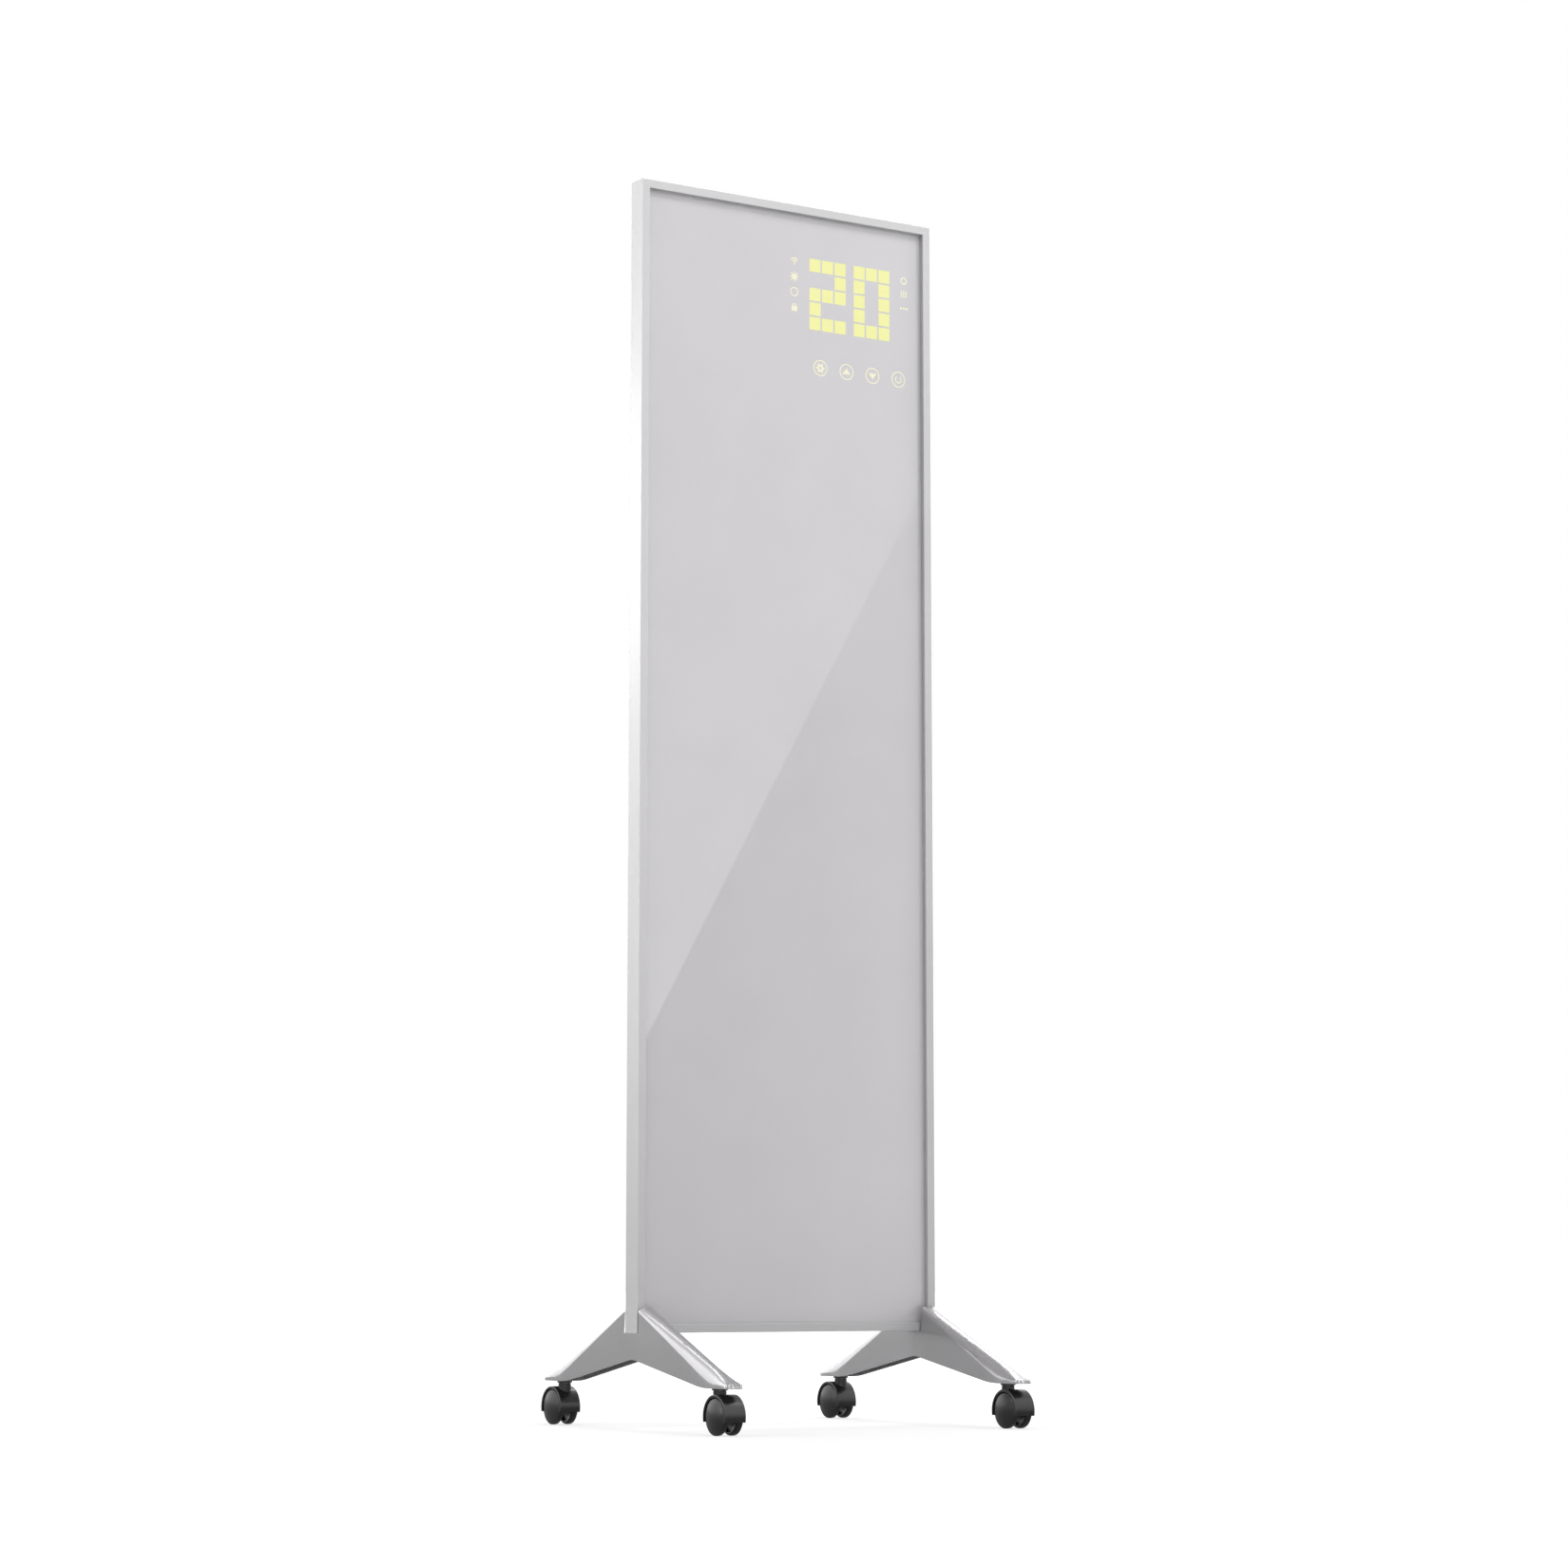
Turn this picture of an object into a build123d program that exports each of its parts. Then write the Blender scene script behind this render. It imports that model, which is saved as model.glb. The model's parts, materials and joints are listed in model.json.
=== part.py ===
from build123d import *
from math import cos, radians, sin, sqrt
import os

# A free-standing infrared panel heater: a glass-fronted panel in a mitred aluminium frame,
# held by two cast legs that run on four swivelling twin-wheel casters.
# Millimetres. The origin is on the floor under the middle of the panel. +Z is up, the glass
# faces -Y, and +X is on the right of someone who looks at the glass.

os.makedirs("parts", exist_ok=True)

# Casters
WHEEL_R = 20.0
WHEEL_TREAD_GAP = 0.8
WHEEL_FACE_X = 5.0
WHEEL_RIM_X = 12.5
WHEEL_CROWN_X = 15.5
WHEEL_INNER_EDGE_R = 3.0
WHEEL_OUTER_EDGE_R = 1.6
WHEEL_HUB_R = 6.0
WHEEL_GROOVE_R = 16.0
WHEEL_GROOVE_DEPTH = 4.0
WHEEL_RUNNING_FIT = 0.06
HOOD_T = 3.2
HOOD_W = 26.5
HOOD_SKIRT = 5.5
HOOD_EDGE_R = 1.2
CORE_W = 9.2
AXLE_R = 2.5
AXLE_L = 23.0
AXLE_PRESS_FIT = 0.02
AXLE_BOSS_R = 6.5
TRAIL = 9.5
NECK_R = 7.25
NECK_RISE = 3.7
SWIVEL_GAP = 0.3
SWIVEL_RUNNING_FIT = 0.08
STEM_R = 4.0
STEM_TIP_GAP = 0.5
STEM_SHOULDER = 9.7
PILOT_R = 2.5
PILOT_L = 12.0
SOCKET_FLANGE_R = 8.65
SOCKET_FLANGE_T = 2.0
SLEEVE_WALL = 1.45
SLEEVE_L = 13.8
SLEEVE_CAP = 1.3
SOCKET_FIT = 0.05

# Legs
LEG_W = 22.0
LEG_REACH = 213.0
LEG_RISE = 57.0
LEG_WALL = 2.5
GRIP_H = 30.2
GRIP_GAP = 0.7
GRIP_EDGE_R = 3.0
CROWN_AT_GRIP = 6.2
TOE_H = 3.9
TOE_WALL_H = 2.5
TOE_SPREAD = 42.8
CROWN_BLEND = 3.0
LEG_TRIM = 0.05
CORE_OVERRUN = 4.0
ARCH_H = 28.3
ARCH_INSET = 57.5
ARCH_TOP_R = 50.0
ARCH_FOOT_R = 150.0
SEAT_T = 4.0
CASTER_INSET = 36.5
CASTER_BOSS_R = 9.0
RIB_T = 2.5
RIB_PITCH = 50.0
RIB_RECESS = 12.0
RIBS_PER_ARM = 2

# Panel frame
PANEL_W = 400.0
PANEL_H = 1327.0
PANEL_T = 26.0
BAR_WALL = 1.6
RIM_W = 10.0
RIM_T = 6.5
RIM_EDGE_R = 0.5
FLANGE_W = 12.0
FLANGE_T = 1.6
KEY_LEG = 40.0
KEY_FIT = 0.1

# Glass and heating layers, from front to back
GASKET_W = 7.0
GASKET_T = 0.5
GLASS_T = 4.0
GLASS_EDGE_GAP = 0.9
GLASS_CORNER_R = 1.5
FILM_T = 0.6
FILM_SIDE_GAP = 20.0
FILM_FOOT = 33.0
FILM_HEAD_GAP = 7.0
BUSBAR_T = 0.4
BUSBAR_W = 12.0
BUSBAR_EDGE = 2.0
BUSBAR_FOOT = 43.0
BUSBAR_HEAD_GAP = 9.0
INSULATION_T = 8.0
INSULATION_SIDE_GAP = 13.0
INSULATION_FOOT = 58.0
INSULATION_HEAD_GAP = 19.0
CUTOUT_R = 8.0
CUTOUT_T = 5.4
CUTOUT_EDGE_R = 1.0
CUTOUT_PITCH = 600.0
CUTOUT_MARGIN = 2.0

# Rear cover and what it carries
COVER_T = 1.2
COVER_GAP = 0.4
COVER_CORNER_R = 2.0
SCREW_EDGE = 7.0
SCREW_END = 60.0
SCREWS_PER_SIDE = 5
SCREW_PITCH_ACROSS = 200.0
SCREW_HEAD_R = 3.5
SCREW_HEAD_H = 1.6
SCREW_EDGE_R = 0.96
SCREW_R = 1.5
SCREW_L = 4.4
SCREW_FIT = 0.05
SCREW_CLEARANCE = 0.3
INSERT_PITCH_X = 220.0
INSERT_PITCH_Z = 660.0
INSERT_BORE_R = 2.5
INSERT_BODY_R = 4.5
INSERT_L = 10.0
INSERT_FLANGE_R = 6.0
INSERT_FLANGE_T = 0.8
INSERT_FIT = 0.05
INSERT_MARGIN = 1.5
VENT_L = 38.0
VENT_W = 4.0
VENT_PITCH_X = 48.0
VENT_PITCH_Z = 16.0

# Display and control, behind the top of the glass
RAIL_DROP = 34.0
RAIL_PITCH = 190.0
RAIL_H = 12.0
RAIL_T = 2.0
BOARD_MARGIN = 4.0
DISPLAY_SIDE_GAP = 23.0
DISPLAY_DROP = 104.0
DISPLAY_W = 176.0
GUIDE_H = 108.0
GUIDE_T = 4.0
DIGIT_PITCH = 62.5
CELL_PITCH = 17.75
CELL = 14.0
SIGN_R = 6.0
SIGN_PITCH = 18.5
SIGN_RISE = 9.0
SIGN_LEFT_REACH = 78.0
SIGN_RIGHT_REACH = 77.5
LED_W = 3.4
LED_T = 1.0
TOUCH_DROP = 192.7
TOUCH_OFFSET = 13.8
TOUCH_PITCH = 36.93
TOUCH_R = 7.0
TOUCH_WALL = 1.2
BOARD_T = 1.6
SPACER_R = 3.0
SPACER_INSET = 9.0
SPACER_PIN_R = 1.5
SPACER_PIN_L = 1.4
SPACER_FIT = 0.1
TRAY_SIDE_GAP = 16.0
TRAY_DISPLAY_GAP = 19.0
TRAY_DEPTH = 8.0
TRAY_FLOOR = 1.6
tray_wALL = 1.8
TRAY_CORNER_R = 4.0
TRAY_BOSS_R = 3.0
TRAY_BOSS_H = 0.8
TRAY_BOSS_INSET = 10.0
LID_T = 1.6
BOARD_GAP = 0.7
COMPONENT_H = 3.8
FUSE_DROP = 0.38
TERMINAL_GAP = 0.2
LEAD_DROP = 0.1
TERMINAL_SIDE_GAP = 42.0
TERMINAL_W = 44.0
TERMINAL_H = 12.0
TERMINAL_PITCH = 14.0
TERMINAL_SCREW_R = 2.2
TERMINAL_SCREW_DEPTH = 1.5
RIBBON_DROP = 20.0
RIBBON_W = 20.0
RIBBON_T = 0.6
RIBBON_OVERLAP = 11.0
HEADER_W = 10.0
SUPPLY_R = 1.8
HEATER_LEAD_R = 1.2
LEAD_CLEARANCE = 0.4
SENSOR_R = 2.0
SENSOR_L = 14.0
SENSOR_EDGE_R = 1.4
LEAD_SIDE_GAP = 7.5
LEAD_ROUTE_DROP = 9.0
LEAD_LANE_DROP = 7.0
LEAD_INSET = 3.0
SUPPLY_BENDS = (4.0, 8.0, 8.0, 8.0)
LEFT_BENDS = (4.0, 3.0)
RIGHT_BENDS = (4.0, 4.0, 3.0)

# Cable gland in the rear cover
GLAND_SIDE_GAP = 80.0
GLAND_RISE = 43.0
GLAND_FLATS = 16.0
GLAND_HEX_T = 4.0
GLAND_DOME_R = 7.0
GLAND_DOME_L = 6.0
GLAND_SHANK_R = 6.0
GLAND_SHANK_L = 4.4
GLAND_MOUTH_R = 3.2
GLAND_FIT = 0.05
GLAND_NUT_T = 2.5

# Screws and blocks that hold the legs to the frame
ANCHOR_W = 38.0
ANCHOR_H = 20.0
ANCHOR_CLEARANCE = 0.3
LEG_SCREW_PITCH = 9.0
LEG_SCREW_R = 2.4
LEG_SCREW_L = 21.0
LEG_SCREW_HEAD_R = 3.9
LEG_SCREW_HEAD_H = 5.0
LEG_SCREW_KEY_R = 2.0
LEG_SCREW_KEY_DEPTH = 2.5
LEG_SCREW_THREAD_FIT = 0.1
LEG_SCREW_CLEARANCE = 0.35

SIDES = (("left", -1), ("right", 1))
ENDS = (("front", -1), ("back", 1))

# Heights and places that follow from the driving sizes
hood_r = WHEEL_R + WHEEL_TREAD_GAP + HOOD_T
foot_z = WHEEL_R + hood_r + NECK_RISE + SWIVEL_GAP + SOCKET_FLANGE_T
panel_bottom = foot_z + LEG_RISE
panel_top = panel_bottom + PANEL_H
panel_mid_z = panel_bottom + PANEL_H / 2
rail_high_z = panel_top - RAIL_DROP
rail_low_z = rail_high_z - RAIL_PITCH
control_z = (rail_high_z + rail_low_z) / 2
control_h = RAIL_PITCH + 2 * BOARD_MARGIN
control_foot = control_z - control_h / 2
display_z = panel_top - DISPLAY_DROP
touch_z = panel_top - TOUCH_DROP
gland_z = panel_bottom + GLAND_RISE
half_w = PANEL_W / 2
leg_x = half_w - LEG_W / 2
display_x = half_w - DISPLAY_SIDE_GAP - DISPLAY_W / 2
tray_w = PANEL_W - DISPLAY_SIDE_GAP - DISPLAY_W - TRAY_DISPLAY_GAP - TRAY_SIDE_GAP
tray_x = TRAY_SIDE_GAP + tray_w / 2 - half_w
terminal_x = TERMINAL_SIDE_GAP - half_w
gland_x = GLAND_SIDE_GAP - half_w
caster_reach = LEG_REACH - CASTER_INSET
arch_reach = LEG_REACH - ARCH_INSET

# Depths that follow from the stack: each name is the plane of that piece's back face
front_y = -PANEL_T / 2
rim_y = front_y + RIM_T
gasket_y = rim_y + GASKET_T
glass_y = gasket_y + GLASS_T
film_y = glass_y + FILM_T
busbar_y = film_y + BUSBAR_T
insulation_y = busbar_y + INSULATION_T
guide_y = glass_y + GUIDE_T
display_board_y = guide_y + BOARD_T
tray_y = glass_y + TRAY_DEPTH
tray_floor_y = glass_y + TRAY_FLOOR
control_board_y = tray_floor_y + TRAY_BOSS_H + BOARD_T
component_y = control_board_y + COMPONENT_H
lead_y = component_y - COMPONENT_H / 2 - LEAD_DROP
lid_y = tray_y + LID_T
rail_y = lid_y + RAIL_T
flange_y = rail_y + FLANGE_T
cover_y = flange_y + COVER_T
anchor_y = rail_y - ANCHOR_CLEARANCE
anchor_t = anchor_y - glass_y - ANCHOR_CLEARANCE
leg_screw_y = anchor_y - anchor_t / 2
leg_screw_xs = [side * (leg_x + step * LEG_SCREW_PITCH / 2) for _, side in SIDES for step in (-1, 1)]
leg_screw_spots = [(x, leg_screw_y) for x in leg_screw_xs]


def back_face(y, z=0.0):
    """Plane of a piece's back face, drawn as seen from the front, so extruding grows to -Y."""
    return Plane(origin=(0, y, z), x_dir=(1, 0, 0), z_dir=(0, -1, 0))


def keep(piece, label):
    """Name a finished piece and write it to its own file."""
    piece.part.label = label
    export_step(piece.part, f"parts/{label}.step")


def four_corners(pitch_x, pitch_z):
    """The corners of a rectangle about the centre of the sketch."""
    return GridLocations(pitch_x, pitch_z, 2, 2)


# Frame bars: one extruded profile, mitred at both ends
def draw_bar_section():
    """Section of a bar: x runs inward from the outer face, y runs from front to back."""
    with Locations((0, front_y)):
        Rectangle(BAR_WALL, PANEL_T, align=(Align.MIN, Align.MIN))
        Rectangle(RIM_W, RIM_T, align=(Align.MIN, Align.MIN))
    with Locations((BAR_WALL, front_y + BAR_WALL)):
        hollow = (RIM_W - 2 * BAR_WALL, RIM_T - 2 * BAR_WALL)
        Rectangle(*hollow, align=(Align.MIN, Align.MIN), mode=Mode.SUBTRACT)
    with Locations((0, rail_y)):
        Rectangle(FLANGE_W, FLANGE_T, align=(Align.MIN, Align.MIN))


def draw_mitres(length):
    """The two triangles that a 45 degree saw takes off a bar's ends."""
    reach = FLANGE_W + 1
    Polygon((0, 0), (reach, 0), (reach, reach), align=None)
    Polygon((0, length), (reach, length), (reach, length - reach), align=None)


bars = {
    "left": ((-half_w, 0, panel_bottom), (1, 0, 0), (0, 0, 1), PANEL_H),
    "right": ((half_w, 0, panel_top), (-1, 0, 0), (0, 0, -1), PANEL_H),
    "top": ((-half_w, 0, panel_top), (0, 0, -1), (1, 0, 0), PANEL_W),
    "bottom": ((half_w, 0, panel_bottom), (0, 0, 1), (-1, 0, 0), PANEL_W),
}
side_screw_pitch = (PANEL_H - 2 * SCREW_END) / (SCREWS_PER_SIDE - 1)


def draw_cover_screws(radius):
    """Circles at all cover screws, about the panel's centre."""
    with GridLocations(PANEL_W - 2 * SCREW_EDGE, side_screw_pitch, 2, SCREWS_PER_SIDE):
        Circle(radius)
    with four_corners(SCREW_PITCH_ACROSS, PANEL_H - 2 * SCREW_EDGE):
        Circle(radius)


for bar_name, (corner, inward, along, length) in bars.items():
    with BuildPart() as frame_bar:
        section_plane = Plane(origin=corner, x_dir=inward, z_dir=along)
        with BuildSketch(section_plane) as bar_section:
            draw_bar_section()
            fillet(bar_section.vertices().group_by(Axis.Y)[0], radius=RIM_EDGE_R)
        extrude(amount=length)
        with BuildSketch(Plane(origin=corner, x_dir=inward, z_dir=(0, -1, 0))):
            draw_mitres(length)
        extrude(amount=PANEL_T, both=True, mode=Mode.SUBTRACT)
        with BuildSketch(back_face(flange_y, panel_mid_z)):
            draw_cover_screws(SCREW_R + SCREW_FIT)
        extrude(amount=FLANGE_T, mode=Mode.SUBTRACT)
        if bar_name == "bottom":
            with BuildSketch(Plane.XY.offset(panel_bottom)):
                with Locations(*leg_screw_spots):
                    Circle(LEG_SCREW_R + LEG_SCREW_CLEARANCE)
            extrude(amount=BAR_WALL, mode=Mode.SUBTRACT)
    keep(frame_bar, f"frame_{bar_name}")

# Corner keys inside the rim of the mitred bars
key_w = RIM_W - 2 * BAR_WALL - 2 * KEY_FIT
key_t = RIM_T - 2 * BAR_WALL - 2 * KEY_FIT
key_x = half_w - BAR_WALL - KEY_FIT
key_z = PANEL_H / 2 - BAR_WALL - KEY_FIT
with BuildPart() as frame_corner_keys:
    with BuildSketch(back_face(rim_y - BAR_WALL - KEY_FIT, panel_mid_z)):
        with Locations((key_x, key_z)):
            Rectangle(KEY_LEG, key_w, align=(Align.MAX, Align.MAX))
            Rectangle(key_w, KEY_LEG, align=(Align.MAX, Align.MAX))
        mirror(about=Plane.YZ)
        mirror(about=Plane.XZ)
    extrude(amount=key_t)
keep(frame_corner_keys, "frame_corner_keys")

# Gasket and glass
glass_w = PANEL_W - 2 * BAR_WALL - 2 * GLASS_EDGE_GAP
glass_h = PANEL_H - 2 * BAR_WALL - 2 * GLASS_EDGE_GAP
with BuildPart() as glass_gasket:
    with BuildSketch(back_face(gasket_y, panel_mid_z)):
        Rectangle(glass_w, glass_h)
        Rectangle(glass_w - 2 * GASKET_W, glass_h - 2 * GASKET_W, mode=Mode.SUBTRACT)
    extrude(amount=GASKET_T)
keep(glass_gasket, "glass_gasket")

with BuildPart() as front_glass:
    with BuildSketch(back_face(glass_y, panel_mid_z)):
        RectangleRounded(glass_w, glass_h, GLASS_CORNER_R)
    extrude(amount=GLASS_T)
keep(front_glass, "front_glass")

# Heating film, busbars and insulation: three layers that end below the control tray
film_w = PANEL_W - 2 * FILM_SIDE_GAP
film_foot = panel_bottom + FILM_FOOT
film_h = control_foot - BOARD_MARGIN / 2 - FILM_HEAD_GAP - film_foot
busbar_foot = panel_bottom + BUSBAR_FOOT
busbar_h = control_foot - BOARD_MARGIN / 2 - BUSBAR_HEAD_GAP - busbar_foot
busbar_x = film_w / 2 - BUSBAR_EDGE - BUSBAR_W / 2
insulation_w = PANEL_W - 2 * INSULATION_SIDE_GAP
insulation_foot = panel_bottom + INSULATION_FOOT
insulation_h = control_foot - BOARD_MARGIN / 2 - INSULATION_HEAD_GAP - insulation_foot

with BuildPart() as heating_film:
    with BuildSketch(back_face(film_y, film_foot)):
        Rectangle(film_w, film_h, align=(Align.CENTER, Align.MIN))
    extrude(amount=FILM_T)
keep(heating_film, "heating_film")

with BuildPart() as busbars:
    with BuildSketch(back_face(busbar_y, busbar_foot)):
        with Locations((-busbar_x, 0), (busbar_x, 0)):
            Rectangle(BUSBAR_W, busbar_h, align=(Align.CENTER, Align.MIN))
    extrude(amount=BUSBAR_T)
keep(busbars, "busbars")

with BuildPart() as insulation_board:
    with BuildSketch(back_face(insulation_y, insulation_foot)):
        Rectangle(insulation_w, insulation_h, align=(Align.CENTER, Align.MIN))
    extrude(amount=INSULATION_T)
    with BuildSketch(back_face(insulation_y, panel_mid_z)):
        with four_corners(INSERT_PITCH_X, INSERT_PITCH_Z):
            Circle(INSERT_BODY_R + INSERT_MARGIN)
        with GridLocations(0, CUTOUT_PITCH, 1, 2):
            Circle(CUTOUT_R + CUTOUT_MARGIN)
    extrude(amount=INSULATION_T, mode=Mode.SUBTRACT)
keep(insulation_board, "insulation_board")

with BuildPart() as thermal_cutouts:
    with BuildSketch(back_face(film_y + CUTOUT_T, panel_mid_z)):
        with GridLocations(0, CUTOUT_PITCH, 1, 2):
            Circle(CUTOUT_R)
    extrude(amount=CUTOUT_T)
    fillet(thermal_cutouts.edges().group_by(Axis.Y)[-1], radius=CUTOUT_EDGE_R)
keep(thermal_cutouts, "thermal_cutouts")

# Rear cover with vents behind the electronics, its screws, and the rivet nuts for a bracket
with BuildPart() as rear_cover:
    with BuildSketch(back_face(cover_y, panel_mid_z)):
        cover_margin = 2 * BAR_WALL + 2 * COVER_GAP
        RectangleRounded(PANEL_W - cover_margin, PANEL_H - cover_margin, COVER_CORNER_R)
    extrude(amount=COVER_T)
    with BuildSketch(back_face(cover_y, panel_mid_z)):
        draw_cover_screws(SCREW_R + SCREW_CLEARANCE)
        with four_corners(INSERT_PITCH_X, INSERT_PITCH_Z):
            Circle(INSERT_BODY_R + INSERT_FIT)
        with Locations((gland_x, gland_z - panel_mid_z)):
            Circle(GLAND_SHANK_R + GLAND_FIT)
        with Locations((tray_x, control_z - panel_mid_z), (display_x, control_z - panel_mid_z)):
            with GridLocations(VENT_PITCH_X, VENT_PITCH_Z, 3, 4):
                SlotOverall(VENT_L, VENT_W)
    extrude(amount=COVER_T, mode=Mode.SUBTRACT)
keep(rear_cover, "rear_cover")

with BuildPart() as rear_cover_screws:
    with BuildSketch(back_face(cover_y + SCREW_HEAD_H, panel_mid_z)):
        draw_cover_screws(SCREW_HEAD_R)
    extrude(amount=SCREW_HEAD_H)
    fillet(rear_cover_screws.edges().group_by(Axis.Y)[-1], radius=SCREW_EDGE_R)
    with BuildSketch(back_face(cover_y, panel_mid_z)):
        draw_cover_screws(SCREW_R)
    extrude(amount=SCREW_L)
keep(rear_cover_screws, "rear_cover_screws")

with BuildPart() as wall_mount_inserts:
    with BuildSketch(back_face(cover_y + INSERT_FLANGE_T, panel_mid_z)):
        with four_corners(INSERT_PITCH_X, INSERT_PITCH_Z):
            Circle(INSERT_FLANGE_R)
    extrude(amount=INSERT_FLANGE_T)
    with BuildSketch(back_face(cover_y, panel_mid_z)):
        with four_corners(INSERT_PITCH_X, INSERT_PITCH_Z):
            Circle(INSERT_BODY_R)
    extrude(amount=INSERT_L)
    with BuildSketch(back_face(cover_y + INSERT_FLANGE_T, panel_mid_z)):
        with four_corners(INSERT_PITCH_X, INSERT_PITCH_Z):
            Circle(INSERT_BORE_R)
    extrude(amount=INSERT_FLANGE_T + INSERT_L, mode=Mode.SUBTRACT)
keep(wall_mount_inserts, "wall_mount_inserts")

# Cross rails that carry the display and the control tray
with BuildPart() as cross_rails:
    with BuildSketch(back_face(rail_y, control_z)):
        with GridLocations(0, RAIL_PITCH, 1, 2):
            Rectangle(PANEL_W - 2 * BAR_WALL - 2 * COVER_GAP, RAIL_H)
    extrude(amount=RAIL_T)
keep(cross_rails, "cross_rails")


# Display: light guide with a well for every cell and sign, diodes, touch springs and board
def digit_cells():
    """Centres of the cells of both digits, about the middle of the display."""
    return [
        (digit * DIGIT_PITCH / 2 + column * CELL_PITCH, row * CELL_PITCH)
        for digit in (-1, 1)
        for column in (-1, 0, 1)
        for row in (-2, -1, 0, 1, 2)
    ]


def sign_spots():
    """Centres of the small signs: four on the left of the digits and three on the right."""
    left = [(-SIGN_LEFT_REACH, SIGN_RISE + (row - 1.5) * SIGN_PITCH) for row in range(4)]
    right = [(SIGN_RIGHT_REACH, SIGN_RISE + (row - 0.5) * SIGN_PITCH) for row in range(3)]
    return left + right


display_origin = Plane(origin=(display_x, 0, display_z), x_dir=(1, 0, 0), z_dir=(0, -1, 0))
with BuildPart() as light_guide:
    with BuildSketch(display_origin.offset(-guide_y)):
        Rectangle(DISPLAY_W, GUIDE_H)
        with Locations(*digit_cells()):
            Rectangle(CELL, CELL, mode=Mode.SUBTRACT)
        with Locations(*sign_spots()):
            Circle(SIGN_R, mode=Mode.SUBTRACT)
    extrude(amount=GUIDE_T)
keep(light_guide, "light_guide")

with BuildPart() as display_leds:
    with BuildSketch(display_origin.offset(-guide_y)):
        with Locations(*digit_cells(), *sign_spots()):
            Rectangle(LED_W, LED_W)
    extrude(amount=LED_T)
keep(display_leds, "display_leds")

with BuildPart() as touch_springs:
    with BuildSketch(back_face(guide_y, touch_z)):
        with Locations((display_x + TOUCH_OFFSET, 0)):
            with GridLocations(TOUCH_PITCH, 0, 4, 1):
                Circle(TOUCH_R)
                Circle(TOUCH_R - TOUCH_WALL, mode=Mode.SUBTRACT)
    extrude(amount=GUIDE_T)
keep(touch_springs, "touch_springs")


def display_spacer_grid():
    """The four spacers sit on the centre lines of the cross rails."""
    return GridLocations(DISPLAY_W - 2 * SPACER_INSET, RAIL_PITCH, 2, 2)


control_origin = Plane(origin=(display_x, 0, control_z), x_dir=(1, 0, 0), z_dir=(0, -1, 0))
with BuildPart() as display_board:
    with BuildSketch(control_origin.offset(-display_board_y)):
        Rectangle(DISPLAY_W, control_h)
        with display_spacer_grid():
            Circle(SPACER_PIN_R + SPACER_FIT, mode=Mode.SUBTRACT)
    extrude(amount=BOARD_T)
keep(display_board, "display_board")

with BuildPart() as display_spacers:
    with BuildSketch(control_origin.offset(-lid_y)):
        with display_spacer_grid():
            Circle(SPACER_R)
    extrude(amount=lid_y - display_board_y)
    with BuildSketch(control_origin.offset(-display_board_y)):
        with display_spacer_grid():
            Circle(SPACER_PIN_R)
    extrude(amount=SPACER_PIN_L)
keep(display_spacers, "display_spacers")

# Control tray: a shallow box with its open side to the back, its board and its lid
tray_origin = Plane(origin=(tray_x, 0, control_z), x_dir=(1, 0, 0), z_dir=(0, -1, 0))
tray_right = tray_x + tray_w / 2
ribbon_z = display_z - RIBBON_DROP
terminal_xs = [terminal_x + step * TERMINAL_PITCH for step in (-1, 0, 1)]
lead_radii = (SUPPLY_R, HEATER_LEAD_R, HEATER_LEAD_R)
with BuildPart() as control_tray:
    with BuildSketch(tray_origin.offset(-tray_y)):
        RectangleRounded(tray_w, control_h, TRAY_CORNER_R)
    extrude(amount=TRAY_DEPTH)
    with BuildSketch(tray_origin.offset(-tray_y)):
        inner_r = TRAY_CORNER_R - tray_wALL
        RectangleRounded(tray_w - 2 * tray_wALL, control_h - 2 * tray_wALL, inner_r)
    extrude(amount=TRAY_DEPTH - TRAY_FLOOR, mode=Mode.SUBTRACT)
    with BuildSketch(tray_origin.offset(-tray_floor_y - TRAY_BOSS_H)):
        with four_corners(tray_w - 2 * TRAY_BOSS_INSET, control_h - 2 * TRAY_BOSS_INSET):
            Circle(TRAY_BOSS_R)
    extrude(amount=TRAY_BOSS_H)
    with BuildSketch(back_face(tray_y, control_foot + tray_wALL / 2)):
        for lead_x, lead_r in zip(terminal_xs, lead_radii):
            with Locations((lead_x, 0)):
                Rectangle(2 * lead_r + 2 * LEAD_CLEARANCE, 2 * tray_wALL)
    extrude(amount=tray_y - lead_y + SUPPLY_R + LEAD_CLEARANCE, mode=Mode.SUBTRACT)
    with BuildSketch(back_face(tray_y, ribbon_z)):
        with Locations((tray_right - tray_wALL / 2, 0)):
            Rectangle(2 * tray_wALL, RIBBON_W + 2 * LEAD_CLEARANCE)
    extrude(amount=tray_y - display_board_y + LEAD_CLEARANCE, mode=Mode.SUBTRACT)
keep(control_tray, "control_tray")

with BuildPart() as control_lid:
    with BuildSketch(tray_origin.offset(-lid_y)):
        RectangleRounded(tray_w, control_h, TRAY_CORNER_R)
    extrude(amount=LID_T)
keep(control_lid, "control_lid")

board_w = tray_w - 2 * tray_wALL - 2 * BOARD_GAP
board_h = control_h - 2 * tray_wALL - 2 * BOARD_GAP
with BuildPart() as control_board:
    with BuildSketch(tray_origin.offset(-control_board_y)):
        RectangleRounded(board_w, board_h, TRAY_CORNER_R - tray_wALL - BOARD_GAP)
    extrude(amount=BOARD_T)
keep(control_board, "control_board")

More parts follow.
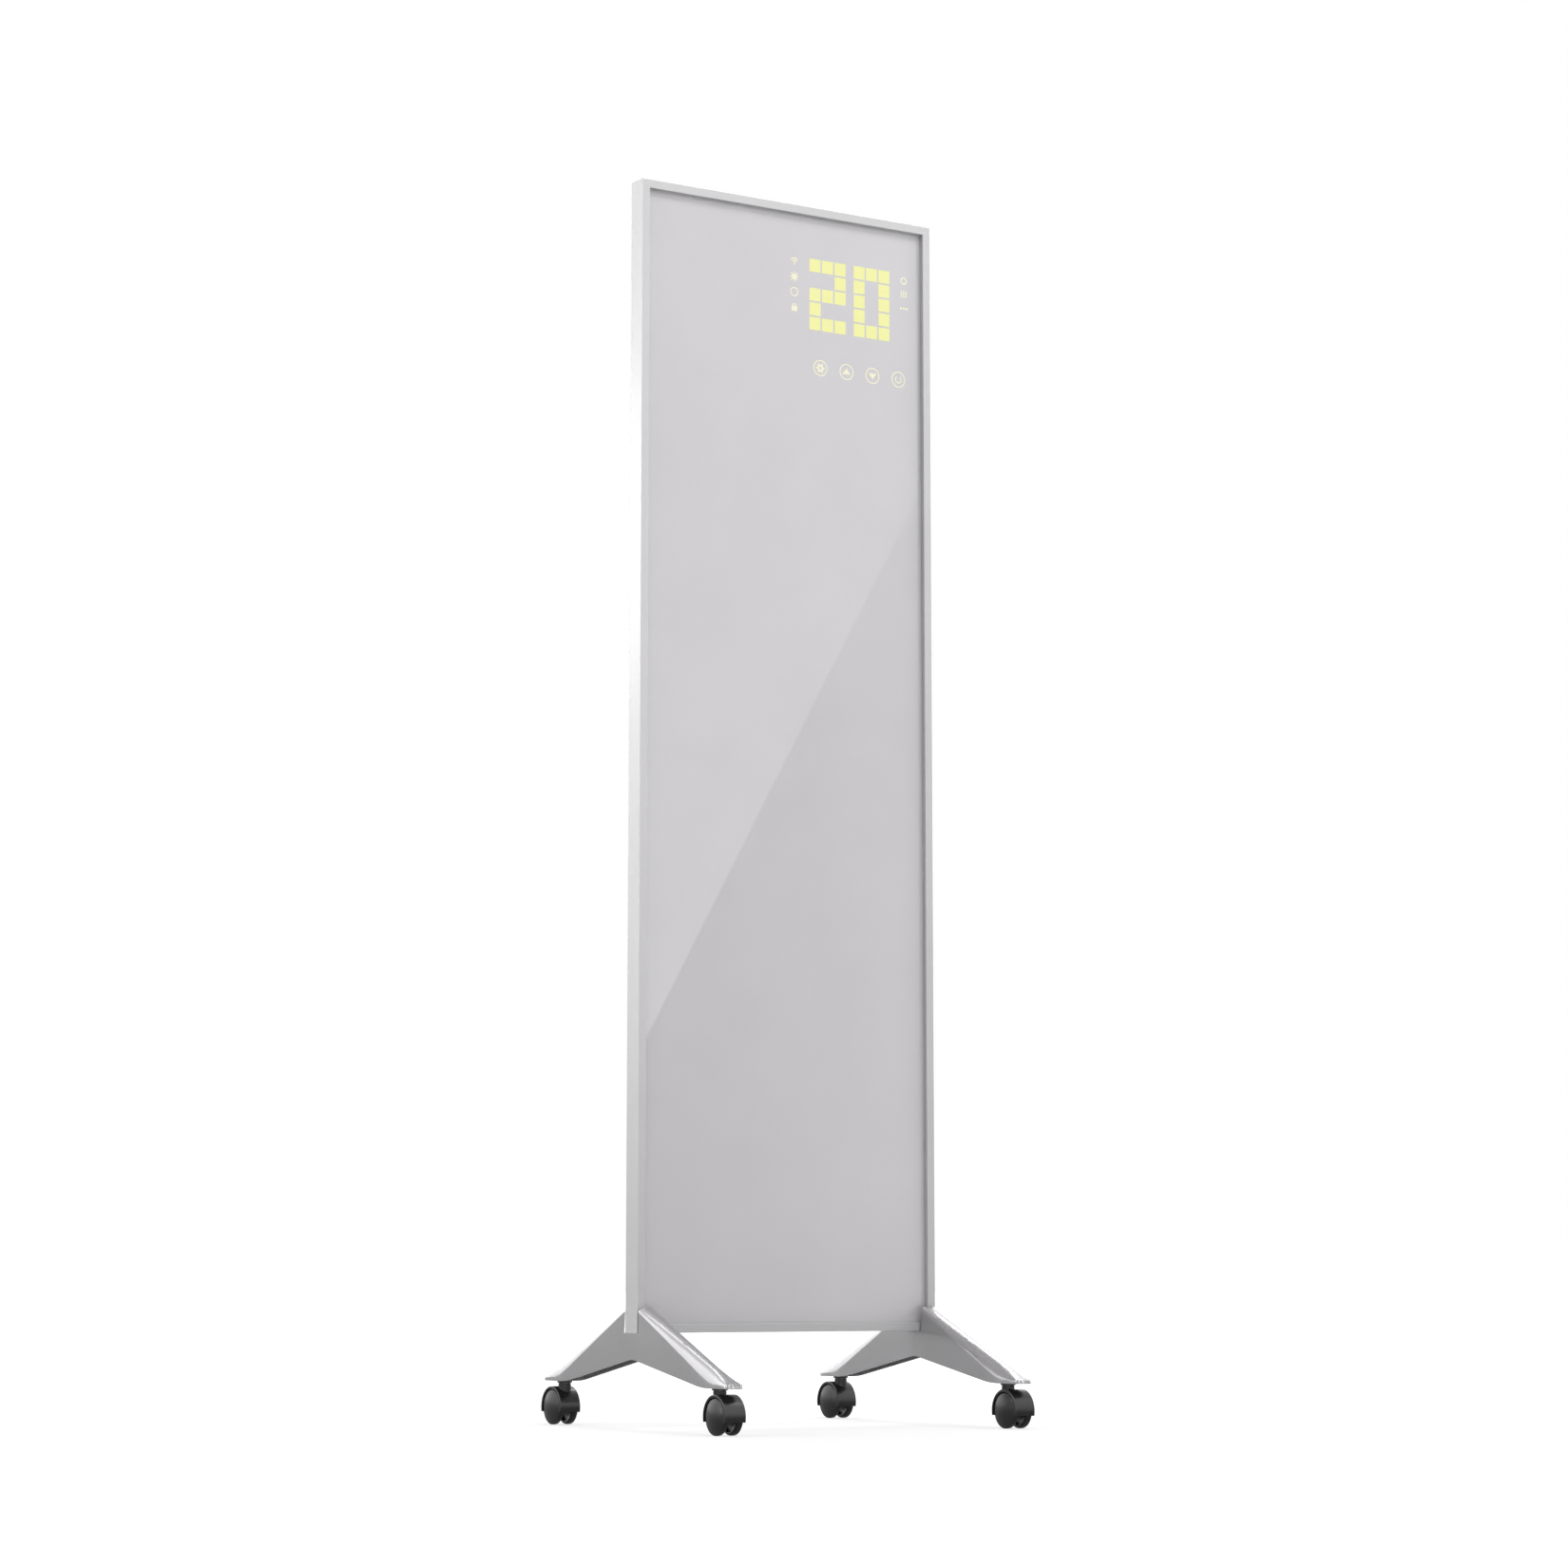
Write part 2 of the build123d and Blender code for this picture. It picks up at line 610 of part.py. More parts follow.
# Power module, two relays, fuse holder, filter choke and processor: distance from the tray's
# left edge, offset from its middle height, then width, height and depth
COMPONENTS = (
    (33, 40, 46, 30, COMPONENT_H),
    (25, -40, 24, 14, COMPONENT_H),
    (55, -40, 24, 14, COMPONENT_H),
    (33, 4, 30, 9, COMPONENT_H - FUSE_DROP),
    (88, 50, 22, 22, COMPONENT_H),
    (103, -20, 14, 14, COMPONENT_H / 3),
)
CAPACITORS = ((88, 15), (101, 15), (114, 15))
CAPACITOR_R = 4.0
with BuildPart() as control_components:
    for from_left, offset_z, wide, high, deep in COMPONENTS:
        with BuildSketch(tray_origin.offset(-control_board_y)):
            with Locations((from_left - tray_w / 2, offset_z)):
                Rectangle(wide, high)
        extrude(amount=-deep)
    with BuildSketch(tray_origin.offset(-control_board_y)):
        with Locations(*[(from_left - tray_w / 2, offset_z) for from_left, offset_z in CAPACITORS]):
            Circle(CAPACITOR_R)
    extrude(amount=-COMPONENT_H)
    with BuildSketch(back_face(control_board_y, ribbon_z)):
        with Locations((tray_right - tray_wALL - RIBBON_OVERLAP - HEADER_W / 2, 0)):
            Rectangle(HEADER_W, RIBBON_W)
    extrude(amount=control_board_y - display_board_y)
keep(control_components, "control_components")

terminal_foot = control_foot + tray_wALL + BOARD_MARGIN + TERMINAL_GAP
with BuildPart() as terminal_block:
    with BuildSketch(back_face(component_y, terminal_foot)):
        with Locations((terminal_x, 0)):
            Rectangle(TERMINAL_W, TERMINAL_H, align=(Align.CENTER, Align.MIN))
    extrude(amount=COMPONENT_H)
    with BuildSketch(back_face(component_y, terminal_foot + TERMINAL_H / 2)):
        with Locations(*[(x, 0) for x in terminal_xs]):
            Circle(TERMINAL_SCREW_R)
    extrude(amount=TERMINAL_SCREW_DEPTH, mode=Mode.SUBTRACT)
keep(terminal_block, "terminal_block")

# Ribbon cable between the header on the control board and the back of the display board
ribbon_start = tray_right - tray_wALL - RIBBON_OVERLAP - HEADER_W
ribbon_end = display_x - DISPLAY_W / 2 + RIBBON_OVERLAP
with BuildPart() as ribbon_cable:
    with BuildSketch(back_face(display_board_y + RIBBON_T, ribbon_z)):
        with Locations((ribbon_start, 0)):
            Rectangle(ribbon_end - ribbon_start, RIBBON_W, align=(Align.MIN, Align.CENTER))
    extrude(amount=RIBBON_T)
keep(ribbon_cable, "ribbon_cable")


def make_lead(radius, points, bends):
    """A round lead along straight runs joined by tangent arcs."""
    with BuildPart() as lead:
        with BuildLine() as route:
            FilletPolyline(*points, radius=bends)
        with BuildSketch(Plane(origin=route.line @ 0, z_dir=route.line % 0)):
            Circle(radius)
        sweep()
    return lead


# Leads, held all the way inside the panel
supply_x = LEAD_SIDE_GAP - half_w
supply_points = (
    (gland_x, flange_y, gland_z),
    (gland_x, lead_y, gland_z),
    (supply_x, lead_y, gland_z),
    (supply_x, lead_y, control_foot - LEAD_ROUTE_DROP),
    (terminal_xs[0], lead_y, control_foot - LEAD_ROUTE_DROP),
    (terminal_xs[0], lead_y, terminal_foot),
)
keep(make_lead(SUPPLY_R, supply_points, SUPPLY_BENDS), "supply_lead")

busbar_top = busbar_foot + busbar_h
lead_end_z = busbar_top - BUSBAR_W / 2
left_points = (
    (terminal_xs[1], lead_y, terminal_foot),
    (terminal_xs[1], lead_y, control_foot - LEAD_ROUTE_DROP - 1),
    (LEAD_INSET - busbar_x, lead_y, lead_end_z),
    (LEAD_INSET - busbar_x, busbar_y, lead_end_z),
)
right_points = (
    (terminal_xs[2], lead_y, terminal_foot),
    (terminal_xs[2], lead_y, control_foot - LEAD_LANE_DROP),
    (busbar_x, lead_y, control_foot - LEAD_LANE_DROP),
    (busbar_x, lead_y, lead_end_z),
    (busbar_x, busbar_y, lead_end_z),
)
with BuildPart() as heater_leads:
    add(make_lead(HEATER_LEAD_R, left_points, LEFT_BENDS).part)
    add(make_lead(HEATER_LEAD_R, right_points, RIGHT_BENDS).part)
keep(heater_leads, "heater_leads")

with BuildPart() as room_sensor:
    with BuildSketch(Plane.XY.offset(control_foot - SENSOR_L)):
        with Locations(((terminal_xs[1] + terminal_xs[2]) / 2, lead_y)):
            Circle(SENSOR_R)
    extrude(amount=SENSOR_L)
    fillet(room_sensor.edges().group_by(Axis.Z)[0], radius=SENSOR_EDGE_R)
keep(room_sensor, "room_sensor")

# Cable gland: hexagon and dome outside the cover, threaded shank through it, nut inside
gland_plane = Plane(origin=(gland_x, cover_y, gland_z), x_dir=(1, 0, 0), z_dir=(0, 1, 0))
gland_length = GLAND_HEX_T + GLAND_DOME_L
with BuildPart() as cable_gland:
    with BuildSketch(gland_plane):
        RegularPolygon(GLAND_FLATS / 2, 6, major_radius=False)
    extrude(amount=GLAND_HEX_T)
    with BuildSketch(gland_plane.offset(GLAND_HEX_T)):
        Circle(GLAND_DOME_R)
    extrude(amount=GLAND_DOME_L)
    fillet(cable_gland.edges().group_by(Axis.Y)[-1], radius=GLAND_DOME_R - GLAND_MOUTH_R - 1)
    with BuildSketch(gland_plane):
        Circle(GLAND_SHANK_R)
    extrude(amount=-GLAND_SHANK_L)
    with BuildSketch(gland_plane):
        Circle(GLAND_MOUTH_R)
    extrude(amount=gland_length, mode=Mode.SUBTRACT)
    with BuildSketch(gland_plane):
        Circle(SUPPLY_R + SCREW_FIT)
    extrude(amount=-GLAND_SHANK_L, mode=Mode.SUBTRACT)
keep(cable_gland, "cable_gland")

with BuildPart() as gland_nut:
    with BuildSketch(gland_plane.offset(-COVER_T)):
        RegularPolygon(GLAND_FLATS / 2, 6, major_radius=False)
        Circle(GLAND_SHANK_R + GLAND_FIT, mode=Mode.SUBTRACT)
    extrude(amount=-GLAND_NUT_T)
keep(gland_nut, "gland_nut")

# Anchor blocks in the lower corners of the frame, tapped for the leg screws
block_x = half_w - BAR_WALL - ANCHOR_W / 2
with BuildPart() as leg_anchor_blocks:
    with BuildSketch(Plane.XY.offset(panel_bottom + BAR_WALL)):
        with Locations((-block_x, leg_screw_y), (block_x, leg_screw_y)):
            Rectangle(ANCHOR_W, anchor_t)
        with Locations(*leg_screw_spots):
            Circle(LEG_SCREW_R + LEG_SCREW_THREAD_FIT, mode=Mode.SUBTRACT)
    extrude(amount=ANCHOR_H)
keep(leg_anchor_blocks, "leg_anchor_blocks")

# Cast legs. An arm is lofted through sections: upright sides under a half-elliptic crown,
# whose ridge falls in a straight line from the panel to the toe.
grip_s = PANEL_T / 2 + GRIP_GAP
toe_ridge_z = foot_z + TOE_H
ridge_fall = (panel_bottom + GRIP_H - toe_ridge_z) / (LEG_REACH - grip_s)
toe_wall_z = foot_z + TOE_WALL_H
shoulder_rise = panel_bottom + GRIP_H - CROWN_AT_GRIP - toe_wall_z
shoulder_fall = shoulder_rise / (LEG_REACH - TOE_SPREAD - grip_s)
core_depth = foot_z / 5
# Reach of a cubic curve's inner points that makes it a quarter of an ellipse
QUARTER_ROUND = 4 * (sqrt(2) - 1) / 3
ARM_STATIONS = (0.0, 0.25, 0.5, 0.65, 0.72, 0.77, 0.82, 0.87, 0.92, 0.965, 1.0)


def ridge_z(s):
    """Height of the ridge at distance s from the middle of the panel."""
    return panel_bottom + GRIP_H - ridge_fall * (s - grip_s)


def shoulder_z(s):
    """Height where the upright side turns into the crown: a slope that eases into the toe."""
    over = shoulder_rise - shoulder_fall * (s - grip_s)
    return toe_wall_z + (over + sqrt(over**2 + CROWN_BLEND**2)) / 2


def arm_section(s, inset):
    """One section across the arm at distance s, inset by a wall and trimmed to its plan later."""
    half = LEG_W / 2 - inset + LEG_TRIM
    shoulder = shoulder_z(s)
    with BuildSketch(Plane(origin=(0, s, 0), x_dir=(1, 0, 0), z_dir=(0, -1, 0))) as section:
        with BuildLine():
            ridge = ridge_z(s) - inset
            lean = QUARTER_ROUND * half
            lift = shoulder + QUARTER_ROUND * (ridge - shoulder)
            Bezier((half, shoulder), (half, lift), (lean, ridge), (0, ridge))
            Bezier((0, ridge), (-lean, ridge), (-half, lift), (-half, shoulder))
            Polyline((-half, shoulder), (-half, core_depth), (half, core_depth), (half, shoulder))
        make_face()
    return section.sketch


def arm_sections(start, end, inset):
    """All sections of an arm from start to end."""
    return [arm_section(start + share * (end - start), inset) for share in ARM_STATIONS]


def grip_sections():
    """Sections of the arm's end at the panel, whose edge is rounded by a quarter circle."""
    turns = [radians(angle) for angle in (0, 30, 60, 90)]
    return [
        arm_section(grip_s + GRIP_EDGE_R * (1 - cos(turn)), GRIP_EDGE_R * (1 - sin(turn)))
        for turn in turns
    ]


def draw_under_profile(recess, mode):
    """The space under a leg from the side: a wide arch between two flat feet."""
    floor = core_depth - 1
    apex = (0, foot_z + ARCH_H + recess)
    feet = [(side * arch_reach, foot_z + recess) for side in (1, -1)]
    ends = [(side * (LEG_REACH + 1), foot_z + recess) for side in (1, -1)]
    lows = [(side * (LEG_REACH + 1), floor) for side in (1, -1)]
    points = (lows[0], ends[0], feet[0], apex, feet[1], ends[1], lows[1])
    Polygon(*points, align=None, mode=mode)


def draw_outside_plan(inset):
    """All that lies round the leg's plan, which is a long slot with round ends."""
    Rectangle(2 * LEG_W, 2 * LEG_REACH + LEG_W)
    SlotOverall(2 * (LEG_REACH - inset), LEG_W - 2 * inset, rotation=90, mode=Mode.SUBTRACT)


# The core fills the hollow of a leg. Ribs and caster bosses are gaps in the core.
core_end_s = LEG_REACH - LEG_W / 2 + CORE_OVERRUN
core_grip_s = grip_s + LEG_WALL
rib_spots = [grip_s + RIB_PITCH * (i + 1) for i in range(RIBS_PER_ARM)]
with BuildPart() as leg_core:
    loft(arm_sections(core_grip_s, core_end_s, LEG_WALL), ruled=True)
    mirror(about=Plane.XZ)
    with BuildSketch(Plane.XY.offset(core_depth)):
        Rectangle(LEG_W - 2 * LEG_WALL, 2 * core_grip_s)
    extrude(amount=panel_bottom - SEAT_T - core_depth)
    with BuildSketch(Plane.XY.offset(core_depth - 1)):
        draw_outside_plan(LEG_WALL)
    extrude(amount=panel_bottom + GRIP_H, mode=Mode.SUBTRACT)
    with BuildSketch(Plane.YZ) as rib_sketch:
        for rib_s in rib_spots:
            with Locations((rib_s, panel_bottom), (-rib_s, panel_bottom)):
                Rectangle(RIB_T, 2 * GRIP_H + 2 * LEG_RISE)
        draw_under_profile(RIB_RECESS, Mode.SUBTRACT)
    extrude(amount=LEG_W, both=True, mode=Mode.SUBTRACT)
    with BuildSketch(Plane.XY.offset(core_depth)):
        with Locations((0, -caster_reach), (0, caster_reach)):
            Circle(CASTER_BOSS_R)
    extrude(amount=panel_bottom, mode=Mode.SUBTRACT)

# The leg: lofted arm, softened where it meets the panel, cut to its plan, its arch and its core
block_half = grip_s + GRIP_EDGE_R + LEG_WALL / 2
sleeve_r = STEM_R + SOCKET_FIT + SLEEVE_WALL
with BuildPart() as leg:
    loft(grip_sections(), ruled=True)
    loft(arm_sections(grip_s + GRIP_EDGE_R, LEG_REACH + 1, 0), ruled=True)
    mirror(about=Plane.XZ)
    with BuildSketch(Plane.XY.offset(core_depth)):
        Rectangle(LEG_W + 2 * LEG_TRIM, 2 * block_half)
    extrude(amount=panel_bottom - core_depth)
    with BuildSketch(Plane.XY.offset(core_depth - 1)):
        draw_outside_plan(0)
    extrude(amount=panel_bottom + GRIP_H, mode=Mode.SUBTRACT)
    with BuildSketch(Plane.YZ) as arch:
        draw_under_profile(0, Mode.ADD)
        fillet(arch.vertices().sort_by(Axis.Y)[-1], radius=ARCH_TOP_R)
        for side in (1, -1):
            near, far = sorted((side * arch_reach - 1, side * arch_reach + 1))
            fillet(arch.vertices().filter_by_position(Axis.X, near, far), radius=ARCH_FOOT_R)
    extrude(amount=LEG_W, both=True, mode=Mode.SUBTRACT)
    add(leg_core.part, mode=Mode.SUBTRACT)
    with BuildSketch(Plane.XY.offset(panel_bottom)):
        with GridLocations(LEG_SCREW_PITCH, 0, 2, 1):
            with Locations((0, leg_screw_y)):
                Circle(LEG_SCREW_R + LEG_SCREW_CLEARANCE)
    extrude(amount=-SEAT_T, mode=Mode.SUBTRACT)
    with BuildSketch(Plane.XY.offset(foot_z)):
        with Locations((0, -caster_reach), (0, caster_reach)):
            Circle(sleeve_r + SOCKET_FIT)
    extrude(amount=SLEEVE_L + SOCKET_FIT * 4, mode=Mode.SUBTRACT)

for side_name, side in SIDES:
    with BuildPart() as placed_leg:
        with Locations((side * leg_x, 0, 0)):
            add(leg.part)
    keep(placed_leg, f"leg_{side_name}")

seat_under_z = panel_bottom - SEAT_T
with BuildPart() as leg_screws:
    with BuildSketch(Plane.XY.offset(seat_under_z)):
        with Locations(*leg_screw_spots):
            Circle(LEG_SCREW_R)
    extrude(amount=LEG_SCREW_L)
    with BuildSketch(Plane.XY.offset(seat_under_z - LEG_SCREW_HEAD_H)):
        with Locations(*leg_screw_spots):
            Circle(LEG_SCREW_HEAD_R)
    extrude(amount=LEG_SCREW_HEAD_H)
    with BuildSketch(Plane.XY.offset(seat_under_z - LEG_SCREW_HEAD_H)):
        with Locations(*leg_screw_spots):
            RegularPolygon(LEG_SCREW_KEY_R, 6, major_radius=False)
    extrude(amount=LEG_SCREW_KEY_DEPTH, mode=Mode.SUBTRACT)
keep(leg_screws, "leg_screws")

# Caster pieces, modelled once about the stem with the wheels trailing to +Y
axle_centre = (0, TRAIL, WHEEL_R)
pocket_r = WHEEL_R + WHEEL_TREAD_GAP
neck_top_z = WHEEL_R + hood_r + NECK_RISE
shoulder_bottom_z = neck_top_z - STEM_SHOULDER
pilot_bottom_z = shoulder_bottom_z + SWIVEL_GAP - PILOT_L
wheel_plane = Plane(origin=axle_centre, x_dir=(0, 1, 0), z_dir=(1, 0, 0))

with BuildPart() as caster_socket:
    with BuildSketch(Plane.XY.offset(foot_z - SOCKET_FLANGE_T)):
        Circle(SOCKET_FLANGE_R)
    extrude(amount=SOCKET_FLANGE_T)
    with BuildSketch(Plane.XY.offset(foot_z)):
        Circle(sleeve_r)
    extrude(amount=SLEEVE_L)
    with BuildSketch(Plane.XY.offset(foot_z - SOCKET_FLANGE_T)):
        Circle(STEM_R + SOCKET_FIT)
    extrude(amount=SOCKET_FLANGE_T + SLEEVE_L - SLEEVE_CAP, mode=Mode.SUBTRACT)
    chamfer(caster_socket.edges().group_by(Axis.Z)[-1], length=SLEEVE_WALL / 2)

stem_bottom_z = shoulder_bottom_z + SWIVEL_GAP
with BuildPart() as caster_stem:
    with BuildSketch(Plane.XY.offset(stem_bottom_z)):
        Circle(STEM_R)
    extrude(amount=foot_z + SLEEVE_L - SLEEVE_CAP - stem_bottom_z - STEM_TIP_GAP)
    chamfer(caster_stem.edges().group_by(Axis.Z)[-1], length=STEM_R / 5)
    with BuildSketch(Plane.XY.offset(pilot_bottom_z)):
        Circle(PILOT_R)
    extrude(amount=PILOT_L)

with BuildPart() as caster_housing:
    with BuildSketch(wheel_plane):
        Circle(hood_r)
        with Locations((0, -HOOD_SKIRT)):
            Rectangle(3 * hood_r, 2 * hood_r, align=(Align.CENTER, Align.MAX), mode=Mode.SUBTRACT)
    extrude(amount=HOOD_W / 2, both=True)
    for rim_edges in (caster_housing.edges().group_by(Axis.X)[i] for i in (0, -1)):
        fillet(rim_edges.filter_by(GeomType.CIRCLE), radius=HOOD_EDGE_R)
    with BuildSketch(Plane.XY.offset(WHEEL_R + HOOD_SKIRT)):
        Circle(NECK_R)
    extrude(amount=neck_top_z - WHEEL_R - HOOD_SKIRT)
    fillet(caster_housing.edges().group_by(Axis.Z)[-1], radius=SWIVEL_GAP)
    for face_side in (-1, 1):
        with BuildSketch(wheel_plane.offset(face_side * CORE_W / 2)):
            Circle(pocket_r)
        extrude(amount=face_side * HOOD_W, mode=Mode.SUBTRACT)
    with BuildSketch(wheel_plane):
        Circle(AXLE_BOSS_R)
    extrude(amount=CORE_W / 2, both=True)
    with BuildSketch(wheel_plane):
        Circle(AXLE_R + AXLE_PRESS_FIT)
    extrude(amount=CORE_W, both=True, mode=Mode.SUBTRACT)
    with BuildSketch(Plane.XY.offset(neck_top_z)):
        Circle(STEM_R + SWIVEL_RUNNING_FIT)
    extrude(amount=-STEM_SHOULDER, mode=Mode.SUBTRACT)
    with BuildSketch(Plane.XY.offset(neck_top_z)):
        Circle(PILOT_R + SWIVEL_RUNNING_FIT)
    extrude(amount=pilot_bottom_z - SWIVEL_GAP - neck_top_z, mode=Mode.SUBTRACT)

with BuildPart() as caster_axle:
    with BuildSketch(wheel_plane):
        Circle(AXLE_R)
    extrude(amount=AXLE_L / 2, both=True)
    for end_edges in (caster_axle.edges().group_by(Axis.X)[i] for i in (0, -1)):
        chamfer(end_edges, length=AXLE_R / 6)

# Wheel: a domed disc with a grooved inner face, turned about the axle
dome_depth = WHEEL_CROWN_X - WHEEL_RIM_X
dome_rim_r = WHEEL_R - WHEEL_OUTER_EDGE_R
dome_r = (dome_depth**2 + dome_rim_r**2) / (2 * dome_depth)
bore_r = AXLE_R + WHEEL_RUNNING_FIT
hub_end_x = AXLE_L / 2 + SWIVEL_GAP
groove_x = WHEEL_FACE_X + WHEEL_GROOVE_DEPTH
with BuildPart() as caster_wheel:
    with BuildSketch(Plane(origin=axle_centre, x_dir=(1, 0, 0), z_dir=(0, -1, 0))):
        with BuildLine():
            inner_edge = CenterArc(
                (WHEEL_FACE_X + WHEEL_INNER_EDGE_R, WHEEL_R - WHEEL_INNER_EDGE_R),
                WHEEL_INNER_EDGE_R,
                90,
                90,
            )
            outer_edge = CenterArc(
                (WHEEL_RIM_X - WHEEL_OUTER_EDGE_R, dome_rim_r), WHEEL_OUTER_EDGE_R, 0, 90
            )
            Line(inner_edge @ 0, outer_edge @ 1)
            RadiusArc(outer_edge @ 0, (WHEEL_CROWN_X, 0), dome_r)
            Polyline(
                (WHEEL_CROWN_X, 0),
                (hub_end_x, 0),
                (hub_end_x, bore_r),
                (WHEEL_FACE_X, bore_r),
                (WHEEL_FACE_X, WHEEL_HUB_R),
                (groove_x, WHEEL_HUB_R),
                (groove_x, WHEEL_GROOVE_R),
                (WHEEL_FACE_X, WHEEL_GROOVE_R),
                inner_edge @ 1,
            )
        make_face()
    revolve(axis=Axis(axle_centre, (1, 0, 0)))

caster_pieces = {
    "socket": caster_socket,
    "stem": caster_stem,
    "housing": caster_housing,
    "axle": caster_axle,
    "wheel_outer": caster_wheel,
    "wheel_inner": caster_wheel,
}
for end_name, end in ENDS:
    for side_name, side in SIDES:
        for piece_name, piece in caster_pieces.items():
            turned = end < 0
            wheel_side = {"wheel_outer": side, "wheel_inner": -side}.get(piece_name, 1)
            with BuildPart() as placed:
                add(piece.part)
                if wheel_side * end < 0:
                    mirror(about=Plane.YZ, mode=Mode.REPLACE)
            with BuildPart() as caster_piece:
                with Locations(Location((side * leg_x, end * caster_reach, 0), (0, 0, 180 * turned))):
                    add(placed.part)
            keep(caster_piece, f"{end_name}_{side_name}_{piece_name}")
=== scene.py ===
# %% [markdown]
# A free-standing infrared panel heater. Its pieces arrive finished in shape from the frame.
# What is left for Blender is how it looks: the satin of the anodised bars, the polished and
# colour-backed glass, the paint of the cast legs, the glossy casters, and the lit display.
# All sizes are metres, the origin is on the floor under the panel, and the glass faces -Y.

# %% Load the frame
import json
from math import cos, radians, sin

import bpy
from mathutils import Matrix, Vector


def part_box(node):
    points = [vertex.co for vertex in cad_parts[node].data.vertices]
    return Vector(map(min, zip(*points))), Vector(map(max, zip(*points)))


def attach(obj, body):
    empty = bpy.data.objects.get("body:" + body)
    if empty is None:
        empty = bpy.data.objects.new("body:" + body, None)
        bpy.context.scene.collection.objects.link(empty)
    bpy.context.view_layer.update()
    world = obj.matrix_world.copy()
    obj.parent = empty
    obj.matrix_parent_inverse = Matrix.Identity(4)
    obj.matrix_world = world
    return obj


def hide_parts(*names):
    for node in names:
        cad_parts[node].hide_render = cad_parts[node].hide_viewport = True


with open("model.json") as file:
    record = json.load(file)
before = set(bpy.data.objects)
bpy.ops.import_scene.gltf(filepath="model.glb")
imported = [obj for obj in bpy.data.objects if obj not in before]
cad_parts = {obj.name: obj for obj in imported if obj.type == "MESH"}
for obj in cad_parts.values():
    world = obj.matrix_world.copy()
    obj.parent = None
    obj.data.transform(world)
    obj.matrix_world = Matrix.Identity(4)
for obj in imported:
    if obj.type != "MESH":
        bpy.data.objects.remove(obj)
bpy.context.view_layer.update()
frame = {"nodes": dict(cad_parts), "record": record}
nodes = frame["nodes"]

# %% [markdown]
# The camera stands low on the left, at floor height, and looks up a little. Its place and its
# long lens were worked out from the edges of the panel in the photograph, so every edge of the
# model falls where the photograph has it.

# %% Camera
CAMERA_PLACE = (-2.26258, -3.68870, 0.16972)
CAMERA_TURN = (radians(97.502), 0, radians(-31.528))
CAMERA_LENS_MM = 85.85
SENSOR_WIDTH_MM = 36
bpy.ops.object.camera_add(location=CAMERA_PLACE, rotation=CAMERA_TURN)
camera = bpy.context.object
camera.name = "studio_camera"
camera.data.lens = CAMERA_LENS_MM
camera.data.sensor_width = SENSOR_WIDTH_MM
bpy.context.scene.camera = camera
bpy.context.scene.view_settings.view_transform = "Standard"
print("camera at", CAMERA_PLACE)

# %% [markdown]
# World, finishes, card and floor are all small networks of nodes. Each node is added, its
# inputs get their values, and links carry its outputs on. The world and the floor also have
# to look different to the camera, to mirrors and to the light that falls on the object. A
# mix steered by the kind of ray does that. Two helpers take up what repeats.


# %% Helpers for networks of nodes
def add_node(tree, kind, values=None, operation=None):
    """Add a node, and give its inputs their values, by name or by number."""
    node = tree.nodes.new(kind)
    if operation:
        node.operation = operation
    for name, value in (values or {}).items():
        node.inputs[name].default_value = value
    return node


def choose(tree, test, otherwise, chosen):
    """Show the chosen surface where the test is 1, and the other one where it is 0."""
    mix = add_node(tree, "ShaderNodeMixShader")
    tree.links.new(test, mix.inputs[0])
    tree.links.new(otherwise.outputs[0], mix.inputs[1])
    tree.links.new(chosen.outputs[0], mix.inputs[2])
    return mix


# %% [markdown]
# A studio picture has a white surround. The world is white where the camera looks at it, and
# plain soft grey where it only lights the object. If both were white, the object would be
# lit too brightly and its pale parts would lose their shading.

# %% World that the camera sees, and world that lights
WHITE = (1, 1, 1, 1)
SURROUND_LIGHT = 0.62
world = bpy.data.worlds.new("studio_surround")
bpy.context.scene.world = world
world.use_nodes = True
surround = world.node_tree
soft = surround.nodes["Background"]
soft.inputs["Color"].default_value = WHITE
soft.inputs["Strength"].default_value = SURROUND_LIGHT
white = add_node(surround, "ShaderNodeBackground", {"Color": WHITE, "Strength": 1})
print("surround light:", SURROUND_LIGHT)

# %% [markdown]
# What the paint and the metal mirror is a third thing: dark at floor height, a broad bright
# belt above it, a dimmer zone higher up, and bright again straight overhead. The belt gives
# the rounded top of each leg its light bands. A ramp over the height of the direction holds
# all of it, which is easier to set than many separate lamps.

# %% World that paint and metal mirror
# How strongly the surround glows, by the height of the direction: 0 is level, 1 straight up
BELT = ((0.0, 0.42), (0.03, 0.45), (0.075, 2.2), (0.62, 2.2), (0.72, 1.0), (1.0, 2.5))
BELT_PEAK = 2.5
direction = add_node(surround, "ShaderNodeTexCoord")
split = add_node(surround, "ShaderNodeSeparateXYZ")
surround.links.new(direction.outputs["Generated"], split.inputs["Vector"])
belt = add_node(surround, "ShaderNodeValToRGB")
stops = belt.color_ramp.elements
for height, _ in BELT[1:-1]:
    stops.new(height)
for stop, (height, strength) in zip(stops, BELT):
    stop.position = height
    stop.color = (*[strength / BELT_PEAK] * 3, 1)
surround.links.new(split.outputs["Z"], belt.inputs["Fac"])
mirrored = add_node(surround, "ShaderNodeBackground", {"Strength": BELT_PEAK})
surround.links.new(belt.outputs["Color"], mirrored.inputs["Color"])
print("belt:", [(round(stop.position, 3), round(stop.color[0] * BELT_PEAK, 2)) for stop in stops])

# %% [markdown]
# The three are put together by the kind of ray. A ray from the camera, or one that passes
# through something clear, meets white. A ray that bounced off something glossy meets the
# belt. Every other ray meets the soft grey.

